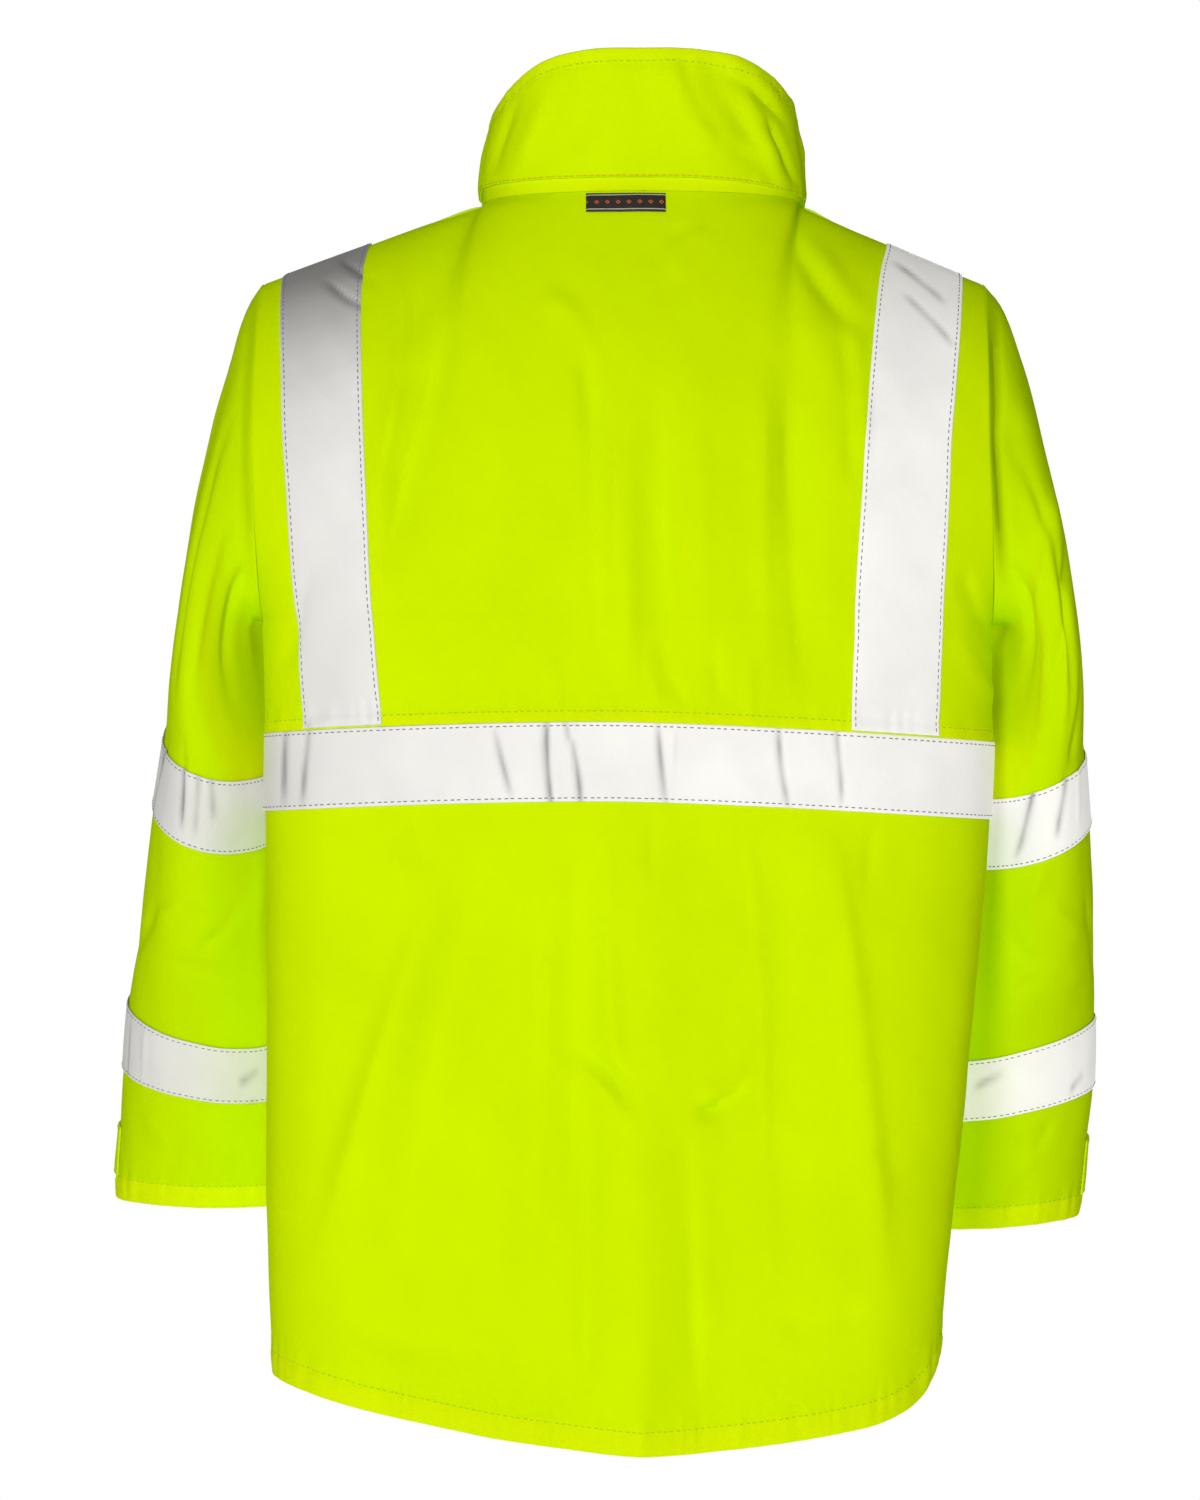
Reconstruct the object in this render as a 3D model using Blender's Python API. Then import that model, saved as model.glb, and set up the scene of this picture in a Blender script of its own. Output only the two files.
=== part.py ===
"""High-visibility rain jacket, hollow and filled out as worn, built from the pieces it is cut from.

Units are metres and +Z is up. The front faces -Y, and the wearer's left is +X.
The origin is the middle of the neck opening, level with the neck points of the shoulders.
"""
import math
from collections import namedtuple

import bmesh
import bpy
from mathutils import Matrix, Vector

# Cloth and seams
CLOTH = 0.0016              # wall of the coated shell cloth with its backing
COLLAR_CLOTH = 0.0020       # the collar is doubled
TAPE_CLOTH = 0.0010
SEAM_GAP = 0.0003
TAPE_WIDTH = 0.0508

# Neck opening
NECK_HALF_WIDTH = 0.1065
NECK_BACK = 0.074
NECK_FRONT = 0.086
NECK_BACK_RISE = 0.002
NECK_FRONT_DROP = 0.052
NECK_SQUARENESS = 2.3
NECK_DROP_CURVE = 1.6       # how quickly the neckline drops towards the front

# Shoulders and armholes
SHOULDER_SLOPE = 0.392      # fall of the shoulder line for each metre outwards
ARMHOLE_X = 0.239
ARMHOLE_BACK = 0.083
ARMHOLE_FRONT = 0.075
SHOULDER_ROWS = 10          # rows from the underarm to the shoulder seam
SHOULDER_MIDDLE_Z = -0.050
ARMHOLE_OUT_LIMIT = 0.97    # the armhole never reaches the full depth of its ring
CROWN_CHANGE = 0.030        # the crown grows rounder from here outwards
CROWN_CHANGE_WIDTH = 0.130
CROWN_AT_SHOULDER = 2.2
CROWN_AT_NECK = 2.6

# Squareness of the body's rings: a flat back with tight sides, a rounder front
BACK_SQUARENESS = 3.4
FRONT_SQUARENESS = 1.75
HEM_CURVE = 1.6
HEM_LOW_POINT = -0.15       # the back hem hangs lowest this share of the half width off centre
HEM_CORNER_LIFT = 0.032     # the hem rises into its corner on the wearer's right
HEM_CORNER_POWER = 20       # how near to the side seam it does so

# Body rings from the hem up to the underarm
BodyRow = namedtuple("BodyRow", "side_z back_z front_z half_width middle_y back_depth front_depth")
BODY = [
    BodyRow(-0.7690, -0.8145, -0.7830, 0.2185, 0.034, 0.092, 0.157),
    BodyRow(-0.6970, -0.7250, -0.7020, 0.2235, 0.034, 0.095, 0.162),
    BodyRow(-0.6250, -0.6400, -0.6270, 0.2280, 0.034, 0.097, 0.167),
    BodyRow(-0.5500, -0.5560, -0.5510, 0.2310, 0.034, 0.099, 0.171),
    BodyRow(-0.4750, -0.4750, -0.4750, 0.2345, 0.034, 0.100, 0.175),
    BodyRow(-0.4045, -0.3950, -0.4000, 0.2375, 0.034, 0.101, 0.177),
    BodyRow(-0.3540, -0.3440, -0.3500, 0.2385, 0.034, 0.101, 0.178),
    BodyRow(-0.3150, -0.3100, -0.3130, 0.2385, 0.034, 0.101, 0.179),
    BodyRow(-0.2800, -0.2800, -0.2800, 0.2390, 0.034, 0.101, 0.179),
]
TAPE_LOW_ROW = 5
TAPE_HIGH_ROW = 6
UNDERARM_ROW = 8
SHOULDER_ROW = UNDERARM_ROW + SHOULDER_ROWS

# The whole body leans a little: sideways shift at each height
Lean = namedtuple("Lean", "height shift")
LEANS = [
    Lean(-0.820, 0.0255), Lean(-0.762, 0.0241), Lean(-0.680, 0.0218), Lean(-0.5575, 0.0159),
    Lean(-0.434, 0.0102), Lean(-0.357, 0.0087), Lean(-0.280, 0.0100), Lean(-0.160, 0.0150),
    Lean(-0.054, 0.0130), Lean(-0.030, 0.0090), Lean(-0.012, 0.0060), Lean(0.000, 0.0000),
    Lean(0.100, 0.0000),
]
# The middle of the body leans further than its sides, which the braces show
SWAYS = [
    Lean(-0.480, 0.0000), Lean(-0.400, 0.0060), Lean(-0.344, 0.0094), Lean(-0.266, 0.0099),
    Lean(-0.215, 0.0072), Lean(-0.176, 0.0047), Lean(-0.087, 0.0034), Lean(-0.050, 0.0018),
    Lean(-0.020, 0.0000),
]
SWAY_POWER = 6
WAIST_TILT = 0.0125         # the waist tape hangs lower on the wearer's right
WAIST_TILT_HEIGHT = -0.370
WAIST_TILT_REACH = 0.12

# Largest folds of the panels: each runs from its top to its bottom across the panel. A positive
# depth is a ridge, a negative one a trough
Fold = namedtuple("Fold", "name top_x top_z bottom_x bottom_z half_width depth")
BACK_FOLDS = [
    Fold("left_armhole_trough", 0.106, -0.075, 0.156, -0.270, 0.024, -0.0030),
    Fold("left_blade_trough", 0.037, -0.090, 0.035, -0.335, 0.022, -0.0030),
    Fold("spine_ridge", 0.002, -0.130, 0.000, -0.335, 0.020, 0.0025),
    Fold("right_blade_ridge", -0.064, -0.080, -0.062, -0.335, 0.025, 0.0030),
    Fold("right_armhole_trough", -0.108, -0.100, -0.112, -0.335, 0.024, -0.0040),
    Fold("left_fan_ridge", 0.135, -0.405, 0.180, -0.900, 0.034, 0.0030),
    Fold("left_fan_trough", 0.085, -0.405, 0.120, -0.900, 0.030, -0.0050),
    Fold("left_centre_trough", 0.033, -0.405, 0.035, -0.900, 0.022, -0.0030),
    Fold("centre_ridge", -0.012, -0.405, -0.020, -0.900, 0.030, 0.0050),
    Fold("right_centre_trough", -0.092, -0.405, -0.072, -0.900, 0.030, -0.0050),
    Fold("right_fan_ridge", -0.150, -0.405, -0.180, -0.900, 0.032, 0.0035),
]
FRONT_FOLDS = [
    Fold("left_chest_trough", 0.100, -0.090, 0.130, -0.330, 0.026, -0.0030),
    Fold("right_chest_trough", -0.110, -0.080, -0.120, -0.335, 0.024, -0.0035),
    Fold("left_skirt_ridge", 0.085, -0.410, 0.100, -0.900, 0.030, 0.0045),
    Fold("left_skirt_trough", 0.140, -0.410, 0.165, -0.900, 0.028, -0.0035),
    Fold("right_skirt_trough", -0.080, -0.410, -0.090, -0.900, 0.028, -0.0045),
    Fold("right_skirt_ridge", -0.135, -0.410, -0.160, -0.900, 0.030, 0.0040),
]
FOLD_FADE = 0.070           # length over which a fold fades out at each end

# Brace tapes: distance of their middle from the centre at each height
Brace = namedtuple("Brace", "height middle")
BRACES = [Brace(-0.820, 0.177), Brace(-0.344, 0.177), Brace(-0.157, 0.189), Brace(-0.050, 0.198)]

BRACE_HALF_WIDTH = 0.53 * TAPE_WIDTH   # along x, where the panel curves under the tape
BRACE_END_GAP = 0.0012

# Columns of each half panel
NECK_COLUMNS = 5
NECK_COLUMN_SPREAD = 0.024  # spacing of the neck columns at the underarm and below
FRONT_EDGE = 0.005          # the fronts stop this far from the zip's middle
SIDE_COLUMNS = 4
BRACE_FIRST = NECK_COLUMNS + 2
BRACE_LAST = BRACE_FIRST + 2

# Sleeves: sections from the underarm to the cuff. The section is an oval, across and deep, turned
# by yaw; its outer side is raised by rise and its back side lowered by drop
Section = namedtuple("Section", "name x y z across deep yaw rise drop")
SLEEVE_LEFT = [
    Section("biceps", 0.2770, -0.014, -0.3050, 0.0265, 0.098, 12, 0.008, 0.015),
    Section("upper_tape_top", 0.2765, -0.033, -0.3550, 0.0360, 0.084, 15, 0.0176, 0.0210),
    Section("upper_tape_end", 0.2825, -0.048, -0.4016, 0.0400, 0.078, 16, 0.0189, 0.0225),
    Section("forearm", 0.2910, -0.078, -0.4850, 0.0480, 0.066, 15, 0.010, 0.016),
    Section("lower_tape_top", 0.2980, -0.112, -0.5441, 0.0540, 0.056, 8, 0.0131, 0.0156),
    Section("lower_tape_end", 0.3020, -0.136, -0.5893, 0.0560, 0.052, 4, 0.0093, 0.0111),
    Section("tab_top", 0.3040, -0.148, -0.6260, 0.0575, 0.049, 2, 0.005, 0.008),
    Section("tab_end", 0.3070, -0.162, -0.6600, 0.0585, 0.047, 0, 0.003, 0.004),
    Section("cuff", 0.3070, -0.167, -0.6760, 0.0590, 0.046, 0, 0.002, 0.002),
]
SLEEVE_RIGHT = [
    Section("biceps", -0.2560, -0.014, -0.3050, 0.0260, 0.098, 12, 0.008, 0.015),
    Section("upper_tape_top", -0.2545, -0.035, -0.3738, 0.0350, 0.084, 14, 0.0189, 0.0088),
    Section("upper_tape_end", -0.2570, -0.050, -0.4208, 0.0390, 0.078, 15, 0.0189, 0.0090),
    Section("forearm", -0.2590, -0.080, -0.4920, 0.0470, 0.066, 13, 0.010, 0.016),
    Section("lower_tape_top", -0.2580, -0.113, -0.5578, 0.0540, 0.056, 6, 0.0151, 0.0070),
    Section("lower_tape_end", -0.2575, -0.136, -0.6047, 0.0560, 0.052, 3, 0.0114, 0.0053),
    Section("tab_top", -0.2540, -0.150, -0.6350, 0.0570, 0.049, 1, 0.005, 0.008),
    Section("tab_end", -0.2510, -0.163, -0.6740, 0.0575, 0.047, 0, 0.004, 0.004),
    Section("cuff", -0.2500, -0.168, -0.6900, 0.0565, 0.046, 0, 0.004, 0.002),
]
CAP_STATIONS = [0.0, 0.13, 0.30, 0.50, 0.75]    # rows between the armhole and the biceps section
CAP_START_PULL = {"left": 0.060, "right": 0.083}
CAP_END_PULL = 0.85
UNDERARM_SPREAD = 2.0       # under the arm the sleeve leaves its seam outwards
TAB_LENGTH_COLUMNS = 5
# Each sleeve is joined from an upper, a middle and a lower part, which meet at the tapes' top edges
SLEEVE_PARTS = ["upper", "middle", "lower"]
SLEEVE_JOINTS = ["upper_tape_top", "lower_tape_top"]

# Collar: height of its edges above the neck
COLLAR_TOP_BACK = 0.094
COLLAR_TOP_LEFT = 0.056
COLLAR_TOP_RIGHT = 0.066
COLLAR_TOP_FRONT = 0.030
COLLAR_FREE_EDGE = 0.009
COLLAR_FREE_EDGE_DROP = 0.007
COLLAR_TOP_HALF_WIDTH = 0.0985
COLLAR_TOP_BACK_DEPTH = 0.083
COLLAR_TOP_FRONT_DEPTH = 0.084
COLLAR_SIDE_CURVE = 4.0     # the top edge stays level behind and drops late at the sides
COLLAR_FRONT_CURVE = 1.2
COLLAR_FREE_EDGE_CURVE = 3
COLLAR_ROWS = 4

# Label
LABEL_MIDDLE_X = 0.011
LABEL_HALF_WIDTH = 0.026
LABEL_TOP = 0.30            # rows below the neck seam
LABEL_END = 1.40

# Zip
CHAIN_HALF_WIDTH = 0.0030
CHAIN_THICKNESS = 0.0020
ZIP_TAPE_INNER = 0.0036
ZIP_TAPE_OUTER = 0.0160
SLIDER_WIDTH = 0.0086
SLIDER_HEIGHT = 0.0130
SLIDER_DEPTH = 0.0050
SLIDER_FORWARD = 0.0014
SLIDER_ROUNDING = 0.0010
BRIDGE_WIDTH = 0.0022
BRIDGE_HEIGHT = 0.0086
BRIDGE_OPENING = 0.0032
BRIDGE_BAR = 0.0012
BRIDGE_SUNK = 0.0008        # the bridge's feet reach this far into the slider
BRIDGE_TAPER = 0.8
PULL_WIDTH = 0.0090
PULL_LENGTH = 0.0340
PULL_THICKNESS = 0.0014
PULL_CORNER = 0.0012
PULL_END_CORNER = 0.0030
PULL_TAPER = 0.86
PULL_END_TAPER = 0.5
PULL_WINDOW_HALF_WIDTH = 0.0017
PULL_WINDOW_LENGTH = 0.0060
PULL_WINDOW_CORNER = 0.0010
PULL_CLEARANCE = 0.0012     # from the pull's hinge line down to the bridge's lower bar
ZIP_BOX_WIDTH = 0.0090
ZIP_BOX_HEIGHT = 0.0120
ZIP_BOX_DEPTH = 0.0045
ZIP_BOX_FORWARD = 0.0035
ZIP_BOX_ROUNDING = 0.0008
SHARP_ANGLE = 40.0

# Colours (linear), roughness and metallic of each material
Finish = namedtuple("Finish", "colour roughness metallic")
SHELL = Finish((0.53, 0.86, 0.004, 1.0), 0.62, 0.0)
SHELL_DOUBLED = Finish((0.60, 0.86, 0.004, 1.0), 0.62, 0.0)
TAPE = Finish((0.72, 0.72, 0.71, 1.0), 0.38, 0.3)
LABEL = Finish((0.012, 0.010, 0.010, 1.0), 0.75, 0.0)
ZIP_CLOTH = Finish((0.50, 0.80, 0.006, 1.0), 0.80, 0.0)
ZIP_PLASTIC = Finish((0.030, 0.030, 0.032, 1.0), 0.45, 0.0)
ZIP_METAL = Finish((0.045, 0.045, 0.048, 1.0), 0.35, 0.6)


def clear_scene():
    for item in list(bpy.data.objects):
        bpy.data.objects.remove(item, do_unlink=True)


def table_value(rows, height, field):
    """Value of a table's column at a height, in straight steps between its rows."""
    heights = [row.height for row in rows]
    values = [getattr(row, field) for row in rows]
    if height <= heights[0]:
        return values[0]
    if height >= heights[-1]:
        return values[-1]
    k = max(i for i in range(len(rows) - 1) if heights[i] <= height)
    t = (height - heights[k]) / (heights[k + 1] - heights[k])
    return values[k] + (values[k + 1] - values[k]) * t


def smooth(t):
    t = min(max(t, 0.0), 1.0)
    return t * t * (3.0 - 2.0 * t)


def lean_over(point):
    """Shift a body point sideways with its height, and tilt the waist."""
    x, y, z = point
    reach = (z - WAIST_TILT_HEIGHT) / WAIST_TILT_REACH
    tilt = WAIST_TILT * x * math.exp(-reach * reach)
    inside = max(1.0 - abs(x / ARMHOLE_X) ** SWAY_POWER, 0.0)
    shift = table_value(LEANS, z, "shift") + inside * table_value(SWAYS, z, "shift")
    return Vector((x + shift, y, z + tilt))


def neck_shape(x):
    """How far round the neck opening a point at x is: 1 at the centre, 0 at the neck points."""
    across = min(abs(x) / NECK_HALF_WIDTH, 1.0)
    return (1.0 - across ** NECK_SQUARENESS) ** (1.0 / NECK_SQUARENESS)


def shoulder_fall(x):
    return SHOULDER_SLOPE * max(abs(x) - NECK_HALF_WIDTH, 0.0)


def top_line(side, x):
    """Depth and height of a panel's top edge: the neckline, then the shoulder seam."""
    round_neck = neck_shape(x)
    if side == "back":
        return NECK_BACK * round_neck, NECK_BACK_RISE * round_neck - shoulder_fall(x)
    drop = NECK_FRONT_DROP * round_neck ** NECK_DROP_CURVE
    return -NECK_FRONT * round_neck, -drop - shoulder_fall(x)


def row_height(row):
    """0 at the underarm and 1 at the shoulder seam; rows follow the armhole's arc."""
    turn = math.radians(180.0 * (row - UNDERARM_ROW) / SHOULDER_ROWS - 90.0)
    return (1.0 + math.sin(turn)) / 2.0, math.cos(turn)


def half_ring(side, row):
    """Middle, signed depth and squareness of the half ring at a row."""
    body = BODY[min(row, UNDERARM_ROW)]
    if side == "back":
        return body.middle_y, body.back_depth, BACK_SQUARENESS
    return body.middle_y, -body.front_depth, FRONT_SQUARENESS


def superellipse(share, power):
    """The other coordinate of a point on a unit superellipse."""
    return (1.0 - min(share, 1.0) ** power) ** (1.0 / power)


def body_fall(side, x, row, half_width):
    """Height of a ring row at x: the back hangs lowest a little off centre, the hem most of all."""
    body = BODY[row]
    loose = max(1.0 - row / TAPE_LOW_ROW, 0.0)
    low_point = HEM_LOW_POINT * loose
    across = min(max(x / half_width, -1.0), 1.0)
    farthest = 1.0 + abs(low_point)
    lift = HEM_CORNER_LIFT * loose * max(-across, 0.0) ** HEM_CORNER_POWER
    if side == "back":
        away = abs(across - low_point) / farthest
        return body.back_z + (body.side_z - body.back_z) * away ** HEM_CURVE + lift
    side_away = abs(math.copysign(1.0, across) - low_point) / farthest
    side_z = body.back_z + (body.side_z - body.back_z) * side_away ** HEM_CURVE
    return body.front_z + (side_z - body.front_z) * abs(across) ** HEM_CURVE + lift


def crown(x, height):
    """How far the cloth stands out from the top line: round over the shoulder, steep at the neck."""
    over_shoulder = math.sqrt(max(1.0 - height ** CROWN_AT_SHOULDER, 0.0))
    at_neck = 1.0 - height ** CROWN_AT_NECK
    share = smooth((abs(x) - CROWN_CHANGE) / CROWN_CHANGE_WIDTH)
    return at_neck + (over_shoulder - at_neck) * share


def fold_depth(side, x, z):
    """How far the folds move the cloth outwards at a point of a panel."""
    total = 0.0
    for fold in BACK_FOLDS if side == "back" else FRONT_FOLDS:
        down = (fold.top_z - z) / (fold.top_z - fold.bottom_z)
        middle = fold.top_x + (fold.bottom_x - fold.top_x) * down
        away = (x - middle) / fold.half_width
        fade = smooth((fold.top_z - z) / FOLD_FADE) * smooth((z - fold.bottom_z) / FOLD_FADE)
        total += fold.depth * fade * math.exp(-away * away)
    return total


def column_positions(side, row):
    """Distances from the centre of the inner columns of a half panel: neck, shoulder and brace."""
    height = row_height(row)[0] if row > UNDERARM_ROW else 0.0
    body_z = BODY[min(row, UNDERARM_ROW)].back_z
    brace = table_value(BRACES, body_z + height * (SHOULDER_MIDDLE_Z - body_z), "middle")
    columns = [FRONT_EDGE if side == "front" else 0.0]
    for i in range(1, NECK_COLUMNS + 1):
        low = NECK_COLUMN_SPREAD * i
        high = NECK_HALF_WIDTH * math.sin(math.radians(90.0 * i / NECK_COLUMNS)) ** (2.0 / NECK_SQUARENESS)
        columns.append(low + (high - low) * height * height)
    inner_edge = brace - BRACE_HALF_WIDTH
    columns += [(columns[-1] + inner_edge) / 2.0, inner_edge, brace, brace + BRACE_HALF_WIDTH]
    return columns


def armhole_share(side, height, reach):
    """Share of the ring's depth at which the armhole's edge lies."""
    middle, depth, _ = half_ring(side, UNDERARM_ROW)
    armhole = ARMHOLE_BACK if side == "back" else -ARMHOLE_FRONT
    edge_y = middle * (1.0 - height) + armhole * reach
    shoulder_y, _ = top_line(side, ARMHOLE_X)
    full = shoulder_y + (edge_y - shoulder_y) / crown(ARMHOLE_X, height)
    return min(max((full - middle) / depth, 0.0), ARMHOLE_OUT_LIMIT)


def ring_stations(side, row):
    """Half width of a ring, and distance and share of the depth of each of its columns."""
    power = half_ring(side, row)[2]
    if row <= UNDERARM_ROW:
        edge, width = 0.0, BODY[row].half_width
    else:
        edge = armhole_share(side, *row_height(row))
        width = ARMHOLE_X / superellipse(edge, power)
    stations = [(x, superellipse(x / width, power)) for x in column_positions(side, row)]
    brace_out = stations[-1][1]
    for i in range(1, SIDE_COLUMNS + 1):
        out = brace_out + (edge - brace_out) * i / SIDE_COLUMNS
        stations.append((width * superellipse(out, power), out))
    return width, stations


def body_row(side, row, sign):
    """Points of a row below the underarm, from the centre to the side seam."""
    middle, depth, _ = half_ring(side, row)
    width, stations = ring_stations(side, row)
    return [(sign * x, middle + depth * out, body_fall(side, sign * x, row, width))
            for x, out in stations]


def yoke_row(side, row, sign):
    """Points of a row between the underarm and the shoulder, from the centre to the armhole."""
    middle, depth, _ = half_ring(side, row)
    height = row_height(row)[0]
    low = BODY[UNDERARM_ROW].side_z
    points = []
    for x, out in ring_stations(side, row)[1]:
        top_y, top_z = top_line(side, x)
        y = top_y + (middle + depth * out - top_y) * crown(x, height)
        points.append((sign * x, y, low + (top_z - low) * height))
    return points


def seam_row(side, sign):
    """Points of the top row, along the neckline and the shoulder seam."""
    columns = column_positions(side, SHOULDER_ROW)
    brace = columns[-1]
    columns += [brace + (ARMHOLE_X - brace) * i / SIDE_COLUMNS for i in range(1, SIDE_COLUMNS + 1)]
    return [(sign * x, *top_line(side, x)) for x in columns]


def panel_row(side, row, sign):
    """Points of one row of a half panel with its folds, from the centre outwards."""
    if row == SHOULDER_ROW:
        points = seam_row(side, sign)
    elif row > UNDERARM_ROW:
        points = yoke_row(side, row, sign)
    else:
        points = body_row(side, row, sign)
    outward = 1.0 if side == "back" else -1.0
    return [(x, y + outward * fold_depth(side, x, z), z) for x, y, z in points]


def panel_grid(side, half=None):
    """Rows of points from hem to shoulder, columns in the order in which walls face outwards."""
    rows = []
    for row in range(SHOULDER_ROW + 1):
        left = panel_row(side, row, 1.0)
        right = panel_row(side, row, -1.0)
        if side == "back":
            line = left[::-1] + right[1:]
        else:
            line = left if half == "left" else right[::-1]
        rows.append([lean_over(point) for point in line])
    return rows


def grid_normals(grid, around=False):
    """Outward normals of a grid: along its columns, crossed with up its rows."""
    rows, columns = len(grid), len(grid[0])
    normals = []
    for r in range(rows):
        line = []
        for c in range(columns):
            up = grid[min(r + 1, rows - 1)][c] - grid[max(r - 1, 0)][c]
            if around:
                along = grid[r][(c + 1) % columns] - grid[r][(c - 1) % columns]
            else:
                along = grid[r][min(c + 1, columns - 1)] - grid[r][max(c - 1, 0)]
            line.append(along.cross(up).normalized())
        normals.append(line)
    return normals


def share_normals(first, second, here, there):
    """Give two grids the same normal where their edges meet, so that their walls are mitred."""
    joined = (first[here[0]][here[1]] + second[there[0]][there[1]]).normalized()
    first[here[0]][here[1]] = joined
    second[there[0]][there[1]] = joined


def pulled_in(grid, edges, distance=SEAM_GAP / 2.0):
    """A copy of a grid with the named edges drawn back by half a seam gap."""
    rows, columns = len(grid), len(grid[0])
    copy = [[p.copy() for p in line] for line in grid]
    for edge in edges:
        for i in range(columns if edge in ("low", "high") else rows):
            if edge == "low":
                here, inner = (0, i), (1, i)
            elif edge == "high":
                here, inner = (rows - 1, i), (rows - 2, i)
            elif edge == "start":
                here, inner = (i, 0), (i, 1)
            else:
                here, inner = (i, columns - 1), (i, columns - 2)
            step = grid[inner[0]][inner[1]] - grid[here[0]][here[1]]
            copy[here[0]][here[1]] += step.normalized() * distance
    return copy


def material_for(name, finish):
    material = bpy.data.materials.new(name)
    material.use_nodes = True
    shader = material.node_tree.nodes["Principled BSDF"]
    shader.inputs["Base Color"].default_value = finish.colour
    shader.inputs["Roughness"].default_value = finish.roughness
    shader.inputs["Metallic"].default_value = finish.metallic
    material.diffuse_color = finish.colour
    return material


def add_object(name, mesh, finish, smooth_shading=True):
    mesh.materials.append(material_for(name + "_material", finish))
    if smooth_shading:
        mesh.shade_smooth()
        mesh.set_sharp_from_angle(angle=math.radians(SHARP_ANGLE))
    item = bpy.data.objects.new(name, mesh)
    bpy.context.scene.collection.objects.link(item)
    return item


def split_quad(bm, corners):
    """Two triangles across a quad's shorter diagonal, so that facing rims are split alike."""
    a, b, c, d = corners
    if (a.co - c.co).length <= (b.co - d.co).length:
        triangles = ((a, b, c), (a, c, d))
    else:
        triangles = ((a, b, d), (b, c, d))
    for triangle in triangles:
        bm.faces.new(triangle)


def wall(name, grid, normals, finish, thickness, lift=0.0, around=False):
    """Closed wall on a grid: its outer face lies lift above the points, its inner face below that."""
    rows, columns = len(grid), len(grid[0])
    bm = bmesh.new()
    layers = []
    for height in (lift, lift - thickness):
        layers.append([[bm.verts.new(grid[r][c] + normals[r][c] * height)
                        for c in range(columns)] for r in range(rows)])
    outer, inner = layers
    last = columns if around else columns - 1
    for r in range(rows - 1):
        for c in range(last):
            d = (c + 1) % columns
            bm.faces.new((outer[r][c], outer[r][d], outer[r + 1][d]))
            bm.faces.new((outer[r][c], outer[r + 1][d], outer[r + 1][c]))
            bm.faces.new((inner[r][c], inner[r + 1][d], inner[r][d]))
            bm.faces.new((inner[r][c], inner[r + 1][c], inner[r + 1][d]))
    for c in range(last):
        d = (c + 1) % columns
        split_quad(bm, (outer[0][c], inner[0][c], inner[0][d], outer[0][d]))
        split_quad(bm, (outer[-1][d], inner[-1][d], inner[-1][c], outer[-1][c]))
    if not around:
        for r in range(rows - 1):
            split_quad(bm, (outer[r + 1][0], inner[r + 1][0], inner[r][0], outer[r][0]))
            split_quad(bm, (outer[r][-1], inner[r][-1], inner[r + 1][-1], outer[r + 1][-1]))
    bm.normal_update()
    mesh = bpy.data.meshes.new(name)
    bm.to_mesh(mesh)
    bm.free()
    return add_object(name, mesh, finish)


def part_of(grid, rows, columns):
    """The sub-grid that a piece lying on a panel is made from."""
    return [[grid[r][c] for c in columns] for r in rows]


def make_body():
    """Grids of the back and front panels, and their normals, shared along the seams."""
    grids = {"back": panel_grid("back"), "left": panel_grid("front", "left"),
             "right": panel_grid("front", "right")}
    normals = {key: grid_normals(grid) for key, grid in grids.items()}
    last = len(grids["left"][0]) - 1
    back_last = len(grids["back"][0]) - 1
    half = back_last // 2
    for row in range(UNDERARM_ROW + 1):
        share_normals(normals["back"], normals["left"], (row, 0), (row, last))
        share_normals(normals["back"], normals["right"], (row, back_last), (row, 0))
    top = SHOULDER_ROW
    for column in range(NECK_COLUMNS, last + 1):
        share_normals(normals["back"], normals["left"], (top, half - column), (top, column))
        share_normals(normals["back"], normals["right"], (top, half + column), (top, last - column))
    return grids, normals


def add_panels(grids, normals):
    split = TAPE_HIGH_ROW
    back, back_normals = grids["back"], normals["back"]
    wall("back_lower", pulled_in(back[:split + 1], ("high", "start", "end")),
         back_normals[:split + 1], SHELL, CLOTH)
    wall("back_upper", pulled_in(back[split:], ("low", "high", "start", "end")),
         back_normals[split:], SHELL, CLOTH)
    wall("front_left", pulled_in(grids["left"], ("high", "end")), normals["left"], SHELL, CLOTH)
    wall("front_right", pulled_in(grids["right"], ("high", "start")), normals["right"], SHELL, CLOTH)


def add_waist_tapes(grids, normals):
    rows = range(TAPE_LOW_ROW, TAPE_HIGH_ROW + 1)
    lift = SEAM_GAP + TAPE_CLOTH
    for name, key, edges in (("waist_tape_back", "back", ("start", "end")),
                             ("waist_tape_left", "left", ("end",)),
                             ("waist_tape_right", "right", ("start",))):
        columns = range(len(grids[key][0]))
        piece = part_of(grids[key], rows, columns)
        wall(name, pulled_in(piece, edges), part_of(normals[key], rows, columns), TAPE, TAPE_CLOTH, lift)


def add_brace_tapes(grids, normals):
    """Each brace runs from the back waist tape over the shoulder to the front waist tape."""
    rows = range(TAPE_HIGH_ROW, SHOULDER_ROW + 1)
    half = (len(grids["back"][0]) - 1) // 2
    last = len(grids["left"][0]) - 1
    offsets = range(BRACE_FIRST, BRACE_LAST + 1)
    for name, key, sign in (("brace_tape_left", "left", -1), ("brace_tape_right", "right", 1)):
        back_columns = [half + sign * c for c in offsets]
        front_columns = [c if key == "left" else last - c for c in offsets]
        if sign < 0:
            back_columns.reverse()
            front_columns.reverse()
        up = part_of(grids["back"], rows, back_columns)
        up_normals = part_of(normals["back"], rows, back_columns)
        down = part_of(grids[key], list(rows)[::-1][1:], front_columns)
        down_normals = part_of(normals[key], list(rows)[::-1][1:], front_columns)
        strip = pulled_in(up + down, ("low", "high"), BRACE_END_GAP)
        wall(name, strip, up_normals + down_normals, TAPE, TAPE_CLOTH, SEAM_GAP + TAPE_CLOTH)


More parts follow.
